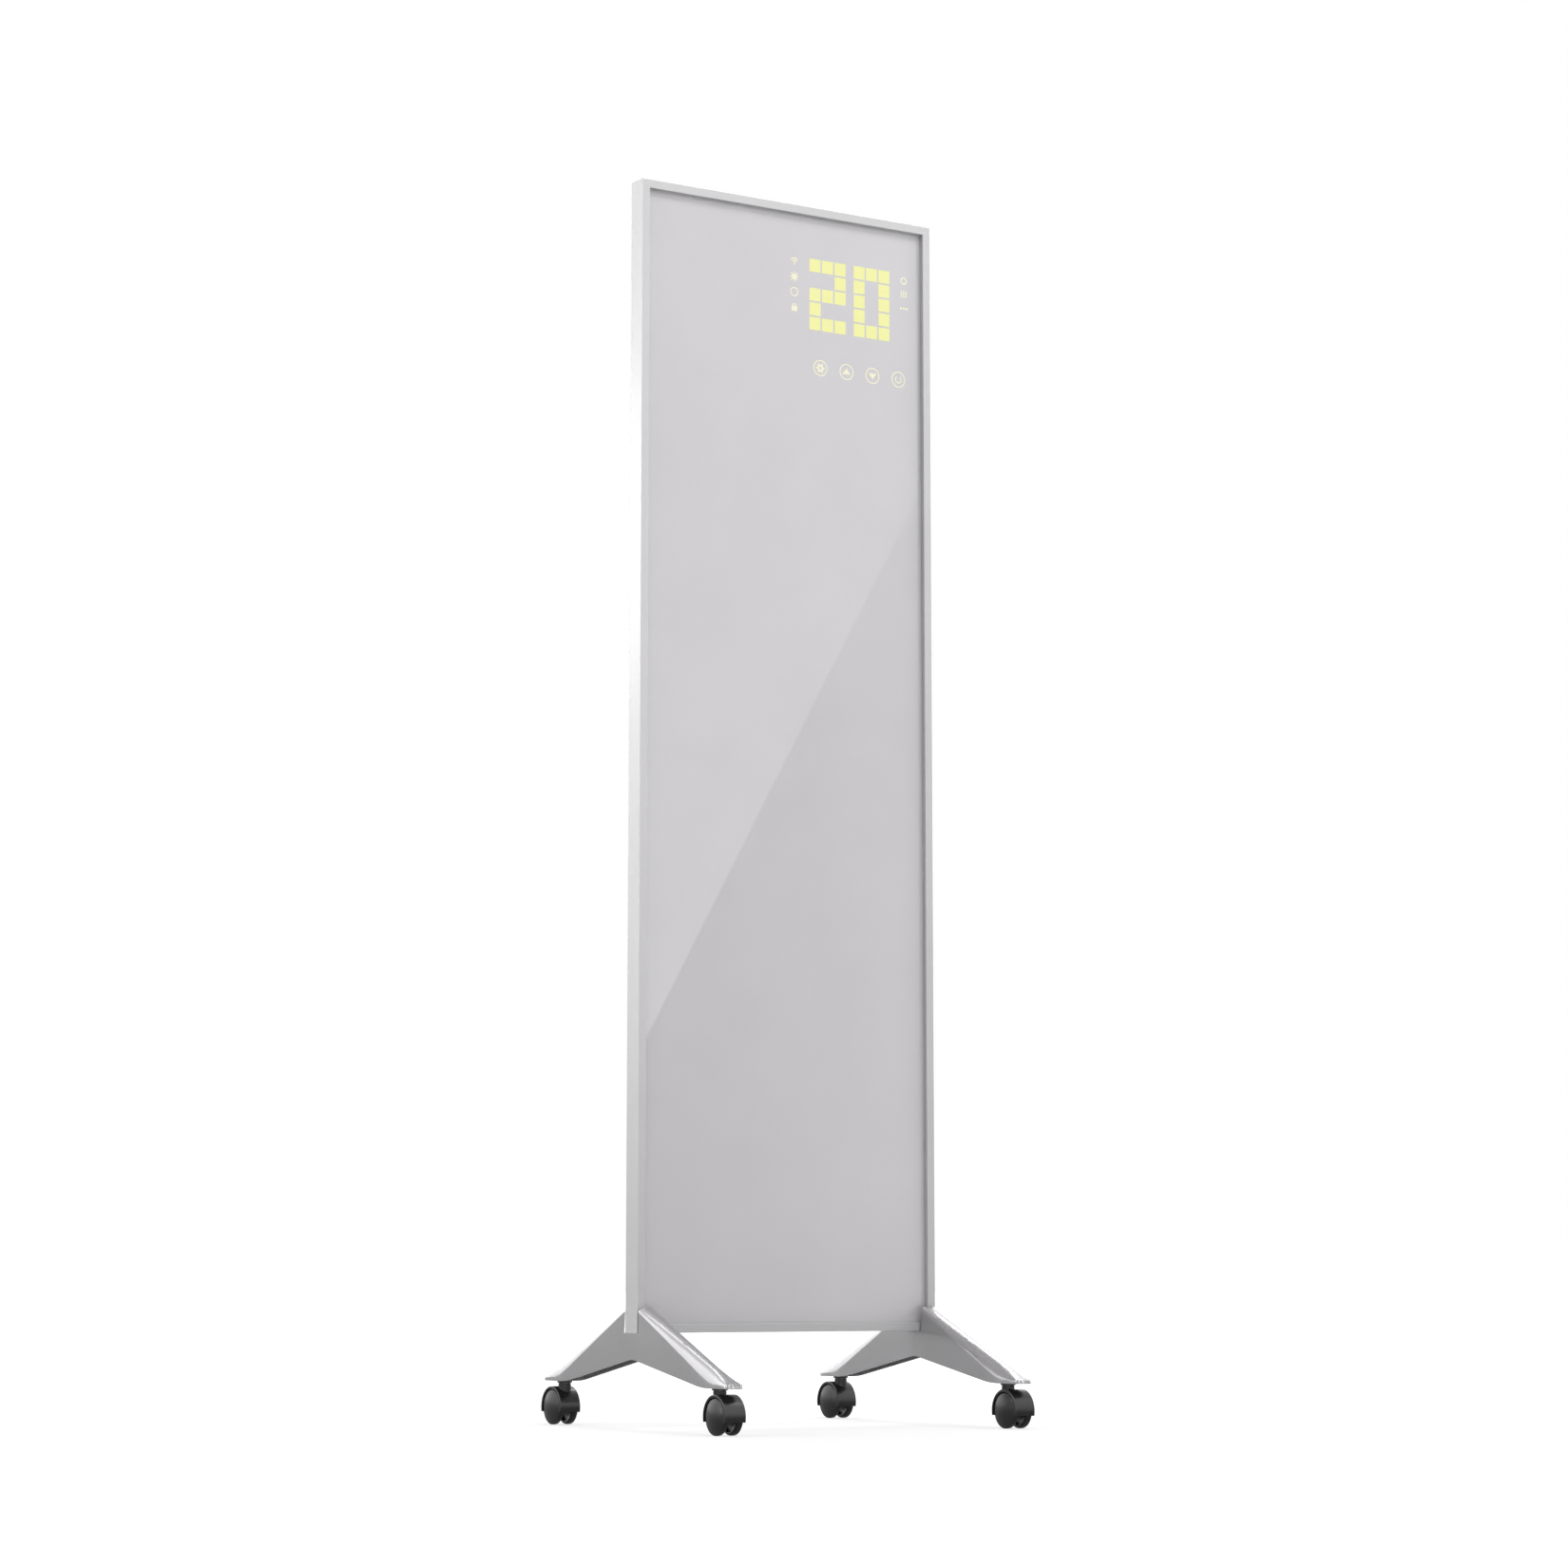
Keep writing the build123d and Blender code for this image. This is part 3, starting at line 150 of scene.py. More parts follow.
# %% World, put together
paths = add_node(surround, "ShaderNodeLightPath")
lit_or_mirrored = choose(surround, paths.outputs["Is Glossy Ray"], soft, mirrored)
seen = add_node(surround, "ShaderNodeMath", operation="MAXIMUM")
surround.links.new(paths.outputs["Is Camera Ray"], seen.inputs[0])
surround.links.new(paths.outputs["Is Transmission Ray"], seen.inputs[1])
whole = choose(surround, seen.outputs[0], lit_or_mirrored, white)
surround.links.new(whole.outputs[0], surround.nodes["World Output"].inputs["Surface"])
print("world nodes:", len(surround.nodes))

# %% [markdown]
# Five wide lamps stand round the heater as softboxes do in a studio. The left one makes the
# narrow side of the frame its brightest part, the two above light the tops of the legs, the
# small one behind lights the rear arms, and the weak one on the right keeps that side from
# going dark. Area lamps are used because their size, and not their power, sets how soft a
# shadow is.

# %% Lamps
# Name, place, point it looks at, width, height and power in watts
LAMPS = (
    ("left_softbox", (-3.2, 0.9, 1.6), (0, 0, 0.7), 1.6, 2.4, 58),
    ("overhead_front", (0.6, -1.5, 3.2), (0, 0, 0.3), 2.4, 0.8, 36),
    ("overhead_back", (0.6, 1.5, 3.0), (0, 0, 0.3), 2.4, 0.8, 42),
    ("back_left_spot", (-1.3, 3.1, 1.7), (0, 0, 0.1), 0.7, 0.7, 12),
    ("right_fill", (3.2, -1.0, 1.2), (0, 0, 0.4), 1.2, 1.8, 20),
)
for lamp_name, stand, target, width, height, power in LAMPS:
    aim = (Vector(target) - Vector(stand)).to_track_quat("-Z", "Y").to_euler()
    bpy.ops.object.light_add(type="AREA", location=stand, rotation=aim)
    lamp = bpy.context.object
    lamp.name = lamp_name
    lamp.data.shape = "RECTANGLE"
    lamp.data.size = width
    lamp.data.size_y = height
    lamp.data.energy = power
    print(lamp_name, power, "W")

# %% [markdown]
# Every finish is a Principled surface with two faint noises: one varies the colour over large
# areas, as paint and anodising do, and one is a fine bump that breaks up the reflection. Both
# read Object coordinates, so the pattern stays on a piece when it turns with its caster.

# %% A finish
CLOUD_SCALE = 9
CLOUD_DETAIL = 3
CLOUD_DARK_END = 0.3
CLOUD_LIGHT_END = 0.7
RELIEF_DEPTH = 0.0002


def even(scale):
    """A grain that is equally fine along x, y and z."""
    return (scale, scale, scale)


def make_finish(
    name, colour, roughness, metallic=0.0, grain=even(900), bump=0.02, vary=0.05, shine=0.5
):
    """A surface with a cloudy colour and a fine grain."""
    finish = bpy.data.materials.new(name)
    finish.use_nodes = True
    tree = finish.node_tree
    surface = tree.nodes["Principled BSDF"]
    surface.inputs["Roughness"].default_value = roughness
    surface.inputs["Metallic"].default_value = metallic
    surface.inputs["Specular IOR Level"].default_value = shine
    place = add_node(tree, "ShaderNodeTexCoord")
    clouds = add_node(tree, "ShaderNodeTexNoise", {"Scale": CLOUD_SCALE, "Detail": CLOUD_DETAIL})
    tree.links.new(place.outputs["Object"], clouds.inputs["Vector"])
    tone = add_node(tree, "ShaderNodeValToRGB")
    darker, lighter = tone.color_ramp.elements
    darker.position = CLOUD_DARK_END
    darker.color = (*[c * (1 - vary) for c in colour], 1)
    lighter.position = CLOUD_LIGHT_END
    lighter.color = (*[min(c * (1 + vary), 1) for c in colour], 1)
    tree.links.new(clouds.outputs["Fac"], tone.inputs["Fac"])
    tree.links.new(tone.outputs["Color"], surface.inputs["Base Color"])
    stretch = add_node(tree, "ShaderNodeMapping", {"Scale": grain})
    tree.links.new(place.outputs["Object"], stretch.inputs["Vector"])
    fine = add_node(tree, "ShaderNodeTexNoise", {"Scale": 1})
    tree.links.new(stretch.outputs["Vector"], fine.inputs["Vector"])
    relief = add_node(tree, "ShaderNodeBump", {"Strength": bump, "Distance": RELIEF_DEPTH})
    tree.links.new(fine.outputs["Fac"], relief.inputs["Height"])
    tree.links.new(relief.outputs["Normal"], surface.inputs["Normal"])
    return finish


# %% [markdown]
# The bars are extruded aluminium, anodised to a pale satin. An extruded bar keeps a grain
# along its length, so its noise is stretched that way, along z, where its scale is small.
# The glass is coloured on its back and polished in front: no bump at all, and hardly any
# roughness, so that it mirrors the studio. The legs are castings under silver paint, partly
# metallic, so that they take both the plain light and the bright belt.

# %% Finishes of the frame, the glass and the legs
FINISHES = {}
FINISHES["frame_metal"] = make_finish(
    "anodised_satin", (0.43, 0.427, 0.434), 0.25,
    metallic=0.2, grain=(1200, 1200, 40), bump=0.05, vary=0.02,
)
FINISHES["front_glass"] = make_finish(
    "colour_backed_glass", (0.53, 0.518, 0.535), 0.015, grain=even(300), bump=0.0, vary=0.02
)
FINISHES["leg_paint"] = make_finish(
    "silver_paint", (0.37, 0.364, 0.372), 0.24, metallic=0.7, grain=even(2500), bump=0.06, vary=0.03
)
print("outer finishes:", list(FINISHES))

# %% [markdown]
# The casters are glossy black mouldings. Their hoods are a little lighter and smoother than
# the wheels. Both have less shine than plastic usually gets, because at full shine the
# bright surround would turn them grey.

# %% Finishes of the casters
FINISHES["caster_black"] = make_finish(
    "glossy_black", (0.013, 0.013, 0.0135), 0.24, grain=even(700), bump=0.05, vary=0.1, shine=0.34
)
FINISHES["wheel_black"] = make_finish(
    "polished_black", (0.012, 0.012, 0.0125), 0.28, grain=even(500), bump=0.04, vary=0.1, shine=0.3
)
print("with casters:", len(FINISHES))

# %% [markdown]
# The rear cover is sheet metal under textured paint. The rest is inside: plated steel, raw
# castings, seals, the heating film with its copper, insulation, plastics and the electronics.
# They are seen only when the heater is opened up, and each still gets its own surface.

# %% Finishes of the back and the inside
FINISHES["cover_paint"] = make_finish("textured_paint", (0.62, 0.62, 0.62), 0.5, bump=0.3, vary=0.03)
FINISHES["zinc_steel"] = make_finish(
    "zinc_plate", (0.6, 0.6, 0.58), 0.3, metallic=0.9, grain=even(800), bump=0.08, vary=0.08
)
FINISHES["cast_aluminium"] = make_finish(
    "raw_casting", (0.55, 0.55, 0.55), 0.5, metallic=0.8, grain=even(600), bump=0.3, vary=0.08
)
FINISHES["seal_rubber"] = make_finish("soft_seal", (0.03, 0.03, 0.03), 0.8)
FINISHES["film_black"] = make_finish("carbon_film", (0.03, 0.03, 0.035), 0.6)
FINISHES["copper"] = make_finish("copper_strip", (0.7, 0.34, 0.2), 0.35, metallic=1.0)
FINISHES["insulation"] = make_finish(
    "mineral_fibre", (0.7, 0.66, 0.5), 0.9, grain=even(400), bump=0.8, vary=0.15
)
FINISHES["black_plastic"] = make_finish("moulded_black", (0.03, 0.03, 0.03), 0.45, bump=0.15)
FINISHES["white_plastic"] = make_finish("moulded_white", (0.75, 0.75, 0.73), 0.45, bump=0.1)
FINISHES["circuit_board"] = make_finish(
    "solder_resist", (0.03, 0.17, 0.07), 0.35, grain=even(150), bump=0.1, vary=0.2
)
FINISHES["led_white"] = make_finish("clear_epoxy", (0.85, 0.85, 0.6), 0.15)
FINISHES["lead_sheath"] = make_finish(
    "sheath_black", (0.05, 0.05, 0.05), 0.6, grain=even(700), bump=0.15
)
print("finishes:", len(FINISHES))

# %% [markdown]
# The record names a slot for every node, and each slot has its finish above. So one loop
# paints the whole heater, and a node that is added later gets its paint the same way.

# %% Finish every node
for row in frame["record"]["subparts"]:
    mesh = nodes[row["node"]].data
    mesh.materials.clear()
    mesh.materials.append(FINISHES[row["material_slot"]])

# %% [markdown]
# The cast legs and the moulded casters look smooth, but their nodes are loose triangles,
# which would show as facets. So a copy is merged into one skin and shaded smooth up to a
# sharp angle, with normals weighted by the size of the faces. The copy then stands for the
# node at the same place. The hoods and sockets of the casters also get a narrow bevel, as
# mouldings have, after their flat areas are made single faces, so that it runs on without
# breaks. The legs get none: a bevel on their narrow faces breaks their light bands into
# dashes.

# %% Soften a casting or moulding
MERGE_REACH = 0.00001
FLAT_ANGLE = 0.4
BEVEL_STEPS = 2


def only(piece):
    """Select one object and nothing else."""
    bpy.ops.object.select_all(action="DESELECT")
    piece.select_set(True)
    bpy.context.view_layer.objects.active = piece


def body_of(node):
    """The body that carries a node."""
    groups = frame["record"]["behaviour"]["bodies"]
    return next(body for body, members in groups.items() if node in members)


def bevel_edges(piece, width, sharp):
    """Cut a narrow bevel along every edge that is sharper than an angle in degrees."""
    bevel = piece.modifiers.new("edge", "BEVEL")
    bevel.width = width
    bevel.segments = BEVEL_STEPS
    bevel.limit_method = "ANGLE"
    bevel.angle_limit = radians(sharp)
    bpy.ops.object.modifier_apply(modifier=bevel.name)


def soften(node, sharp, edge=0):
    """Replace a node by a merged, smooth copy, with a bevel where the width of its edge is given."""
    piece = bpy.data.objects.new("soft_" + node, nodes[node].data.copy())
    bpy.context.scene.collection.objects.link(piece)
    only(piece)
    bpy.ops.object.mode_set(mode="EDIT")
    bpy.ops.mesh.select_all(action="SELECT")
    bpy.ops.mesh.remove_doubles(threshold=MERGE_REACH)
    if edge > 0:
        bpy.ops.mesh.dissolve_limited(angle_limit=radians(FLAT_ANGLE))
    bpy.ops.object.mode_set(mode="OBJECT")
    if edge > 0:
        bevel_edges(piece, edge, sharp)
    bpy.ops.object.shade_smooth_by_angle(angle=radians(sharp))
    evened = piece.modifiers.new("even", "WEIGHTED_NORMAL")
    evened.keep_sharp = True
    bpy.ops.object.modifier_apply(modifier=evened.name)
    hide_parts(node)
    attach(piece, body_of(node))
    print(piece.name, len(piece.data.polygons), "faces")


# %% [markdown]
# The angle from which an edge counts as sharp is smaller on the legs, which keeps their toes
# and ridges crisp, and larger on the casters, which keeps their domes smooth.

# %% Soften the legs and the casters
LEG_SHARP = 30
CASTER_SHARP = 38
MOULDED_EDGE = 0.0003
for side in ("left", "right"):
    soften("leg_" + side, LEG_SHARP)
for end in ("front", "back"):
    for side in ("left", "right"):
        caster = end + "_" + side
        soften(caster + "_housing", CASTER_SHARP, MOULDED_EDGE)
        soften(caster + "_socket", CASTER_SHARP, MOULDED_EDGE)
        soften(caster + "_wheel_outer", CASTER_SHARP)
        soften(caster + "_wheel_inner", CASTER_SHARP)

# %% [markdown]
# The display shines through the glass: pale yellow squares that make the set temperature, a
# column of small signs on each side, and four ringed touch signs below. Behind glass a lit
# mark has no visible depth, so each is a very thin film on the front of the glass, with a
# weak glow of its own. A strong glow would wash out its colour.

# %% Lit film
LIT_STRENGTH = 0.42
FILM_ROUGHNESS = 0.3


def make_lit_film(name, colour, light):
    """A film that glows by itself and still takes the light of the room."""
    film = make_finish(name, colour, FILM_ROUGHNESS, grain=even(300), bump=0.01, vary=0.01)
    surface = film.node_tree.nodes["Principled BSDF"]
    surface.inputs["Emission Color"].default_value = (*light, 1)
    surface.inputs["Emission Strength"].default_value = LIT_STRENGTH
    return film


digit_film = make_lit_film("lit_yellow", (0.36, 0.36, 0.12), (1, 1, 0.48))
sign_film = make_lit_film("lit_pale", (0.38, 0.37, 0.25), (1, 0.98, 0.75))
GLASS_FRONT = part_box("front_glass")[0].y
print("glass front at y =", round(GLASS_FRONT, 4))

# %% [markdown]
# A strip is a row of faces, bent round a centre. One way of bending it makes an arc, a ring
# or a disc: a full turn closes it, and an inner radius of nothing fills it. Spin would do the
# same, but it needs an edge to be drawn first, and a grid is there in one step.

# %% Strips, rings and discs
STRIP_STEP = 9
FEWEST_FACES = 6


def bend_strip(x, z, inner, outer, start, sweep):
    """A strip bent round (x, z) between two radii, from one angle on, in degrees."""
    faces = max(FEWEST_FACES, int(sweep / STRIP_STEP))
    bpy.ops.mesh.primitive_grid_add(x_subdivisions=faces, y_subdivisions=1, size=1)
    strip = bpy.context.object
    for corner in strip.data.vertices:
        angle = radians(start + (corner.co.x + 0.5) * sweep)
        radius = inner + (corner.co.y + 0.5) * (outer - inner)
        corner.co = (x + radius * cos(angle), GLASS_FRONT, z + radius * sin(angle))
    return strip


def ring(x, z, inner, outer):
    """A full ring round (x, z)."""
    return bend_strip(x, z, inner, outer, 0, 360)


def disc(x, z, radius):
    """A full disc round (x, z)."""
    return ring(x, z, 0, radius)


# %% [markdown]
# Squares, bars and pointers are a plane or a triangle with its corners put in place.

# %% Plates and triangles
TIP_SHARE = 0.6


def around(x, z, reach, angle):
    """The x and z of the point at a reach from (x, z), in a direction in degrees."""
    return x + reach * cos(radians(angle)), z + reach * sin(radians(angle))


def flat_plate(x, z, width, height, lean=0.0):
    """A rectangle on the glass, leaning by an angle in degrees."""
    bpy.ops.mesh.primitive_plane_add(size=1)
    plate = bpy.context.object
    turn = radians(lean)
    for corner in plate.data.vertices:
        across, up = corner.co.x * width, corner.co.y * height
        corner.co = (
            x + across * cos(turn) - up * sin(turn),
            GLASS_FRONT,
            z + across * sin(turn) + up * cos(turn),
        )
    return plate


def flat_triangle(x, z, width, height):
    """A triangle on the glass that points up, or down where its height is negative."""
    bpy.ops.mesh.primitive_circle_add(vertices=3, radius=1, fill_type="NGON")
    sign = bpy.context.object
    top, foot = height * TIP_SHARE, height * (TIP_SHARE - 1)
    tips = ((0, top), (-width / 2, foot), (width / 2, foot))
    for corner, (across, up) in zip(sign.data.vertices, tips):
        corner.co = (x + across, GLASS_FRONT, z + up)
    return sign


# %% [markdown]
# The flat shapes of one sign are joined, their doubled corners are merged, and one extrusion
# towards the viewer gives the film its thickness. The normals are then made to point outwards.

# %% Finish a sign
FILM_T = 0.00008
FILM_MERGE_REACH = 0.000005


def finish_sign(name, shapes, film):
    """Join flat shapes into one film, give it its thickness and its light, and mount it."""
    bpy.ops.object.select_all(action="DESELECT")
    for shape in shapes:
        shape.select_set(True)
    bpy.context.view_layer.objects.active = shapes[0]
    if len(shapes) > 1:
        bpy.ops.object.join()
    sign = bpy.context.object
    sign.name = name
    only(sign)
    bpy.ops.object.mode_set(mode="EDIT")
    bpy.ops.mesh.select_all(action="SELECT")
    bpy.ops.mesh.remove_doubles(threshold=FILM_MERGE_REACH)
    bpy.ops.mesh.extrude_region_move(TRANSFORM_OT_translate={"value": (0, -FILM_T, 0)})
    bpy.ops.mesh.select_all(action="SELECT")
    bpy.ops.mesh.normals_make_consistent(inside=False)
    bpy.ops.object.mode_set(mode="OBJECT")
    sign.data.materials.clear()
    sign.data.materials.append(film)
    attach(sign, "heater")
    print(name, len(sign.data.polygons), "faces")


# %% [markdown]
# Each digit is a field of three by five squares. The rows are written out as they look, so
# a digit can be read in the script, and a loop places a square for every cross.

# %% Digits
CELL = 0.0156
CELL_PITCH = 0.01775
DISPLAY_Z = 1.330
MIDDLE_ROW = 2
MIDDLE_COLUMN = 1
# The x of each digit's middle, and its rows from the top down
DIGIT_ROWS = {
    "digit_two": (0.05775, ("XXX", "..X", "XXX", "X..", "XXX")),
    "digit_zero": (0.12025, ("XXX", "X.X", "X.X", "X.X", "XXX")),
}
for name, (middle, rows) in DIGIT_ROWS.items():
    cells = []
    for row, marks in enumerate(rows):
        z = DISPLAY_Z + (MIDDLE_ROW - row) * CELL_PITCH
        for column, mark in enumerate(marks):
            if mark == "X":
                x = middle + (column - MIDDLE_COLUMN) * CELL_PITCH
                cells.append(flat_plate(x, z, CELL, CELL))
    finish_sign(name, cells, digit_film)

# %% [markdown]
# The left column has four signs: a fan of arcs over a dot for the signal, a disc with rays
# for the sun, a ring, and a lock, which is a plate with a bow over it.

# %% Signal and sun
LEFT_X = 0.011
SIGNAL_Z = 1.3638
SIGNAL_RADII = (0.0024, 0.0045, 0.0066)
SIGNAL_LINE = 0.0012
SIGNAL_DOT_Z = 1.3640
SIGNAL_DOT_R = 0.0012
SUN_Z = 1.3483
SUN_R = 0.0036
RAY_REACH = 0.0050
RAY_LENGTH = 0.0022
RAY_WIDTH = 0.0013
fan = [bend_strip(LEFT_X, SIGNAL_Z, r, r + SIGNAL_LINE, 45, 90) for r in SIGNAL_RADII]
fan.append(disc(LEFT_X, SIGNAL_DOT_Z, SIGNAL_DOT_R))
finish_sign("sign_signal", fan, sign_film)
rays = []
for angle in range(0, 360, 45):
    ray_x, ray_z = around(LEFT_X, SUN_Z, RAY_REACH, angle)
    rays.append(flat_plate(ray_x, ray_z, RAY_LENGTH, RAY_WIDTH, angle))
finish_sign("sign_sun", [disc(LEFT_X, SUN_Z, SUN_R)] + rays, sign_film)

# %% Ring and lock
SMALL_RING_Z = 1.3297
SMALL_RING_R = 0.0044
SMALL_RING_LINE = 0.0013
LOCK_Z = 1.3093
LOCK_WIDTH = 0.0078
LOCK_HEIGHT = 0.0060
BOW_Z = 1.3123
BOW_INNER_R = 0.0020
BOW_OUTER_R = 0.0032
small_ring = ring(LEFT_X, SMALL_RING_Z, SMALL_RING_R, SMALL_RING_R + SMALL_RING_LINE)
finish_sign("sign_ring", [small_ring], sign_film)
lock_body = flat_plate(LEFT_X, LOCK_Z, LOCK_WIDTH, LOCK_HEIGHT)
lock_bow = bend_strip(LEFT_X, BOW_Z, BOW_INNER_R, BOW_OUTER_R, 0, 180)
finish_sign("sign_lock", [lock_body, lock_bow], sign_film)

# %% [markdown]
# The right column is plain: a small ring for the degree, then three bars and three dots.

# %% Degree, bars and dots
RIGHT_X = 0.1665
DEGREE_Z = 1.3644
DEGREE_INNER_R = 0.0030
DEGREE_OUTER_R = 0.0046
BARS_Z = 1.3479
BAR_PITCH = 0.0034
BAR_WIDTH = 0.0016
BAR_HEIGHT = 0.0086
DOTS_Z = 1.3303
DOT_PITCH = 0.0042
DOT_R = 0.0015
degree = ring(RIGHT_X, DEGREE_Z, DEGREE_INNER_R, DEGREE_OUTER_R)
finish_sign("sign_degree", [degree], sign_film)
bars = [flat_plate(RIGHT_X + step * BAR_PITCH, BARS_Z, BAR_WIDTH, BAR_HEIGHT) for step in (-1, 0, 1)]
finish_sign("sign_bars", bars, sign_film)
dots = [disc(RIGHT_X + step * DOT_PITCH, DOTS_Z, DOT_R) for step in (-1, 0, 1)]
finish_sign("sign_dots", dots, sign_film)

# %% [markdown]
# The four touch signs stand in a row below the number, each inside a thin ring: a gear for
# the settings, one triangle up and one down, and an open ring for the power. A function
# draws the inside of each, so that one loop can place them all.

# %% Insides of the touch signs
TOUCH_Z = 1.2413
GEAR_HOLE_R = 0.0018
GEAR_R = 0.0042
TOOTH_REACH = 0.0050
TOOTH_LENGTH = 0.002
TOOTH_WIDTH = 0.0024
POINTER_WIDTH = 0.0118
POINTER_HEIGHT = 0.0072
POWER_INNER_R = 0.0034
POWER_OUTER_R = 0.0047


def gear(x):
    """A hub with six teeth."""
    shapes = [ring(x, TOUCH_Z, GEAR_HOLE_R, GEAR_R)]
    for angle in range(0, 360, 60):
        tooth_x, tooth_z = around(x, TOUCH_Z, TOOTH_REACH, angle)
        shapes.append(flat_plate(tooth_x, tooth_z, TOOTH_LENGTH, TOOTH_WIDTH, angle))
    return shapes


def pointer_up(x):
    """A triangle that points up."""
    return [flat_triangle(x, TOUCH_Z, POINTER_WIDTH, POINTER_HEIGHT)]


def pointer_down(x):
    """A triangle that points down."""
    return [flat_triangle(x, TOUCH_Z, POINTER_WIDTH, -POINTER_HEIGHT)]


def open_ring(x):
    """A ring that is open at the top."""
    return [bend_strip(x, TOUCH_Z, POWER_INNER_R, POWER_OUTER_R, 120, 300)]


# %% Touch signs
TOUCH_X = 0.0474
TOUCH_PITCH = 0.03693
RING_R = 0.0092
RING_LINE = 0.0013
TOUCH_SIGNS = {
    "touch_gear": gear,
    "touch_up": pointer_up,
    "touch_down": pointer_down,
    "touch_power": open_ring,
}
for index, (name, inside) in enumerate(TOUCH_SIGNS.items()):
    x = TOUCH_X + index * TOUCH_PITCH
    outline = ring(x, TOUCH_Z, RING_R - RING_LINE / 2, RING_R + RING_LINE / 2)
    finish_sign(name, [outline] + inside(x), sign_film)

# %% [markdown]
# Polished glass shows what stands before it. In the photograph a large bright card is mirrored
# in the upper left of the glass, and its straight edge runs across it as a diagonal. The same
# card stands here: it is found by following the mirrored line of sight from two points of that
# edge out to where the card stands.

# %% Where the glass mirrors the edge of the card
# The x and z on the glass of two points of the diagonal
GLARE_HIGH = (0.1930, 1.1140)
GLARE_LOW = (-0.1950, 0.4200)
CARD_Y = -5.0
mirrored_eye = Vector((CAMERA_PLACE[0], 2 * GLASS_FRONT - CAMERA_PLACE[1], CAMERA_PLACE[2]))


def card_point(spot):
    """Where the mirrored line of sight through a spot of the glass reaches the card."""
    on_glass = Vector((spot[0], GLASS_FRONT, spot[1]))
    sight = on_glass - mirrored_eye
    return mirrored_eye + sight * ((CARD_Y - mirrored_eye.y) / sight.y)


high, low = card_point(GLARE_HIGH), card_point(GLARE_LOW)
along = (high - low).normalized()
aside = Vector((-along.z, 0, along.x))
print("card edge from", [round(v, 2) for v in low], "to", [round(v, 2) for v in high])

# %% [markdown]
# The card is one large upright plane, and its edge is drawn by its material: bright on one
# side of a line, and paper in shade on the other. The shade is less deep to the right and
# upward. So the edge stays sharp without cutting the mesh, and can be moved by two points.

# %% Card
CARD_WIDTH = 24
CARD_HEIGHT = 12
bpy.ops.mesh.primitive_plane_add(size=1)
card = bpy.context.object
card.name = "bright_card"
for corner in card.data.vertices:
    corner.co = (CARD_WIDTH * corner.co.x, CARD_Y, CARD_HEIGHT * (corner.co.y + 0.5))
print("card:", CARD_WIDTH, "by", CARD_HEIGHT, "m")


# %% Which side of the edge, and how deep in shade
def weigh(tree, spot, factors, offset):
    """A node that adds up x, y and z of a spot, each times its factor, and an offset."""
    scaled = add_node(tree, "ShaderNodeVectorMath", {1: factors}, "DOT_PRODUCT")
    tree.links.new(spot.outputs["Object"], scaled.inputs[0])
    moved = add_node(tree, "ShaderNodeMath", {1: offset}, "ADD")
    tree.links.new(scaled.outputs["Value"], moved.inputs[0])
    return moved


# The shaded paper: its glow where the shade starts, and what each metre adds to it
SHADE_START_X = 2.6
SHADE_START_Z = 0.1
SHADE_GLOW = 0.2
SHADE_PER_X = 1.1
SHADE_PER_Z = 0.35
SHADE_LEAST = 0.1
SHADE_MOST = 1.9
glow = bpy.data.materials.new("card_glow")
glow.use_nodes = True
card_tree = glow.node_tree
on_card = add_node(card_tree, "ShaderNodeTexCoord")
side_of_edge = weigh(card_tree, on_card, aside, -aside.dot(low))
bright_side = add_node(card_tree, "ShaderNodeMath", {1: 0}, "GREATER_THAN")
card_tree.links.new(side_of_edge.outputs[0], bright_side.inputs[0])
shade_offset = SHADE_GLOW - SHADE_PER_X * SHADE_START_X - SHADE_PER_Z * SHADE_START_Z
shade = weigh(card_tree, on_card, (SHADE_PER_X, 0, SHADE_PER_Z), shade_offset)
held = add_node(card_tree, "ShaderNodeClamp", {"Min": SHADE_LEAST, "Max": SHADE_MOST})
card_tree.links.new(shade.outputs[0], held.inputs["Value"])
print("shade offset:", round(shade_offset, 3))

# %% [markdown]
# The card has to be bright to show in the glass, and would light the whole scene if it were
# a lamp. So the camera, the plain light and the shadows leave it out, and only mirrors see it.

# %% Light of the card
CARD_BRIGHT = 2.6
card_strength = add_node(card_tree, "ShaderNodeMix", {"B": CARD_BRIGHT})
card_tree.links.new(bright_side.outputs[0], card_strength.inputs["Factor"])
card_tree.links.new(held.outputs[0], card_strength.inputs["A"])
card_light = add_node(card_tree, "ShaderNodeEmission")
card_tree.links.new(card_strength.outputs[0], card_light.inputs["Strength"])
card_tree.links.new(card_light.outputs[0], card_tree.nodes["Material Output"].inputs["Surface"])
card.data.materials.append(glow)
card.visible_camera = False
card.visible_diffuse = False
card.visible_shadow = False
print("card glow:", CARD_BRIGHT)

# %% [markdown]
# The floor is one pale, plain sheet that reaches out past the picture. To the camera it glows
# almost white by itself and adds a little of the light that falls on it, so it keeps the soft
# shadows under the casters. Close to the object it glows less, so that a shadow can show, and
# far away it is simply white and melts into the surround.

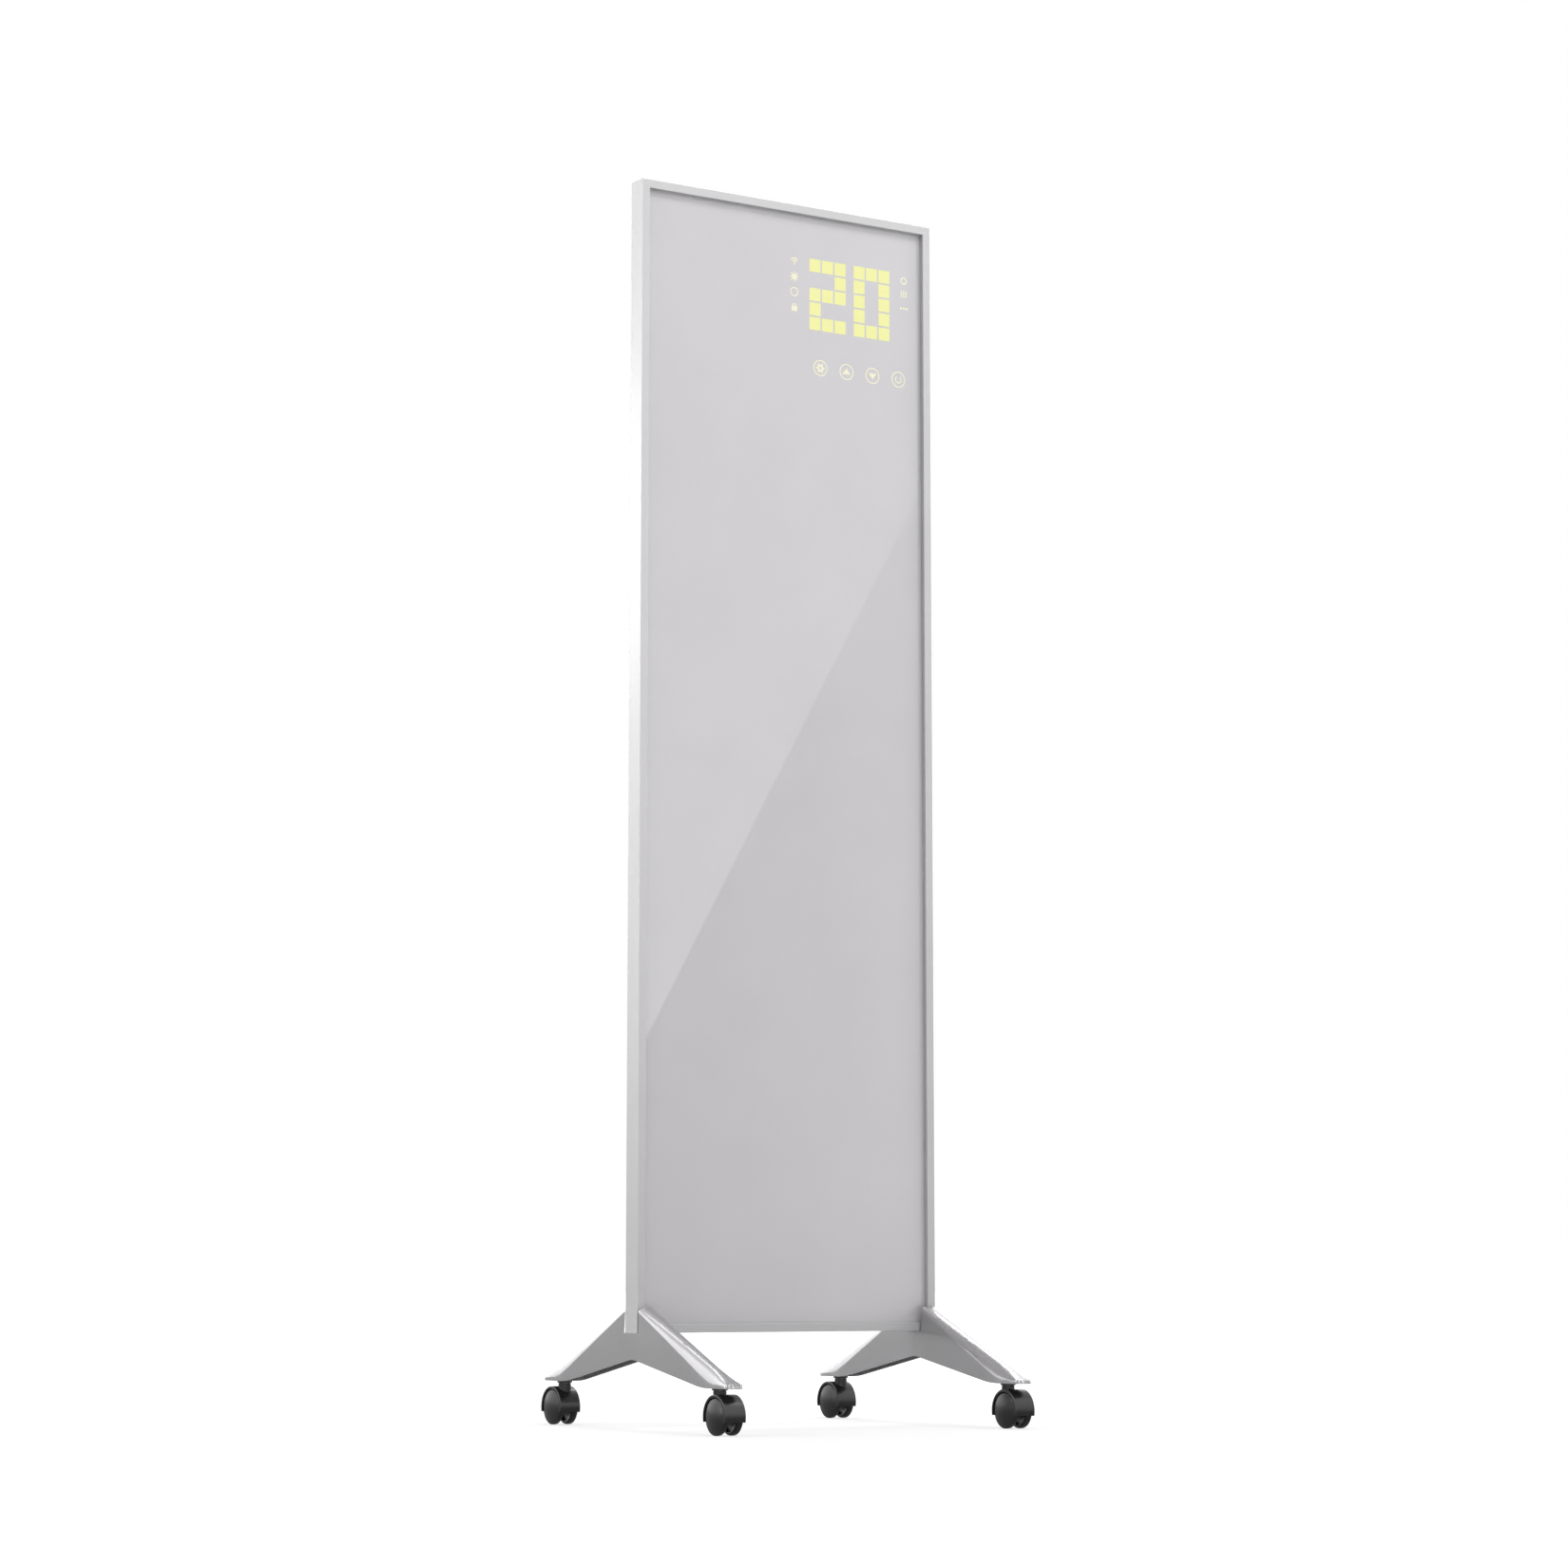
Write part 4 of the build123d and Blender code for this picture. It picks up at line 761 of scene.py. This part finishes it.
# %% Floor as the camera sees it
FLOOR_HALF = 30
NEAR_GLOW = 0.65
FAR_GLOW = 1
NEAR_REACH = 0.6
FAR_REACH = 1.8
FAINT_GREY = (0.3, 0.3, 0.3, 1)
bpy.ops.mesh.primitive_plane_add(size=2 * FLOOR_HALF, location=(0, 0, 0))
floor = bpy.context.object
floor.name = "studio_floor"
floor_paint = bpy.data.materials.new("pale_floor")
floor_paint.use_nodes = True
floor_tree = floor_paint.node_tree
on_floor = add_node(floor_tree, "ShaderNodeTexCoord")
reach = add_node(floor_tree, "ShaderNodeVectorMath", operation="LENGTH")
floor_tree.links.new(on_floor.outputs["Object"], reach.inputs[0])
fade_range = {"From Min": NEAR_REACH, "From Max": FAR_REACH, "To Min": NEAR_GLOW, "To Max": FAR_GLOW}
fade = add_node(floor_tree, "ShaderNodeMapRange", fade_range)
floor_tree.links.new(reach.outputs["Value"], fade.inputs["Value"])
base_glow = add_node(floor_tree, "ShaderNodeEmission")
floor_tree.links.new(fade.outputs["Result"], base_glow.inputs["Strength"])
faint = add_node(floor_tree, "ShaderNodeBsdfDiffuse", {"Color": FAINT_GREY})
both = add_node(floor_tree, "ShaderNodeAddShader")
floor_tree.links.new(faint.outputs[0], both.inputs[0])
floor_tree.links.new(base_glow.outputs[0], both.inputs[1])
print("floor half:", FLOOR_HALF, "m")

# %% [markdown]
# Mirrors see a dim floor, which keeps the lower sides of the legs dark. All other light meets
# an ordinary pale one, and bounces off it softly. The kind of ray chooses, as in the world.

# %% Floor, put together
FLOOR_GREY = (0.8, 0.8, 0.8, 1)
FLOOR_ROUGHNESS = 0.9
MIRRORED_GLOW = 0.4
plain = floor_tree.nodes["Principled BSDF"]
plain.inputs["Base Color"].default_value = FLOOR_GREY
plain.inputs["Roughness"].default_value = FLOOR_ROUGHNESS
dim = add_node(floor_tree, "ShaderNodeEmission", {"Strength": MIRRORED_GLOW})
floor_paths = add_node(floor_tree, "ShaderNodeLightPath")
plain_or_dim = choose(floor_tree, floor_paths.outputs["Is Glossy Ray"], plain, dim)
floor_look = choose(floor_tree, floor_paths.outputs["Is Camera Ray"], plain_or_dim, both)
floor_tree.links.new(floor_look.outputs[0], floor_tree.nodes["Material Output"].inputs["Surface"])
floor.data.materials.append(floor_paint)
print("floor ready")
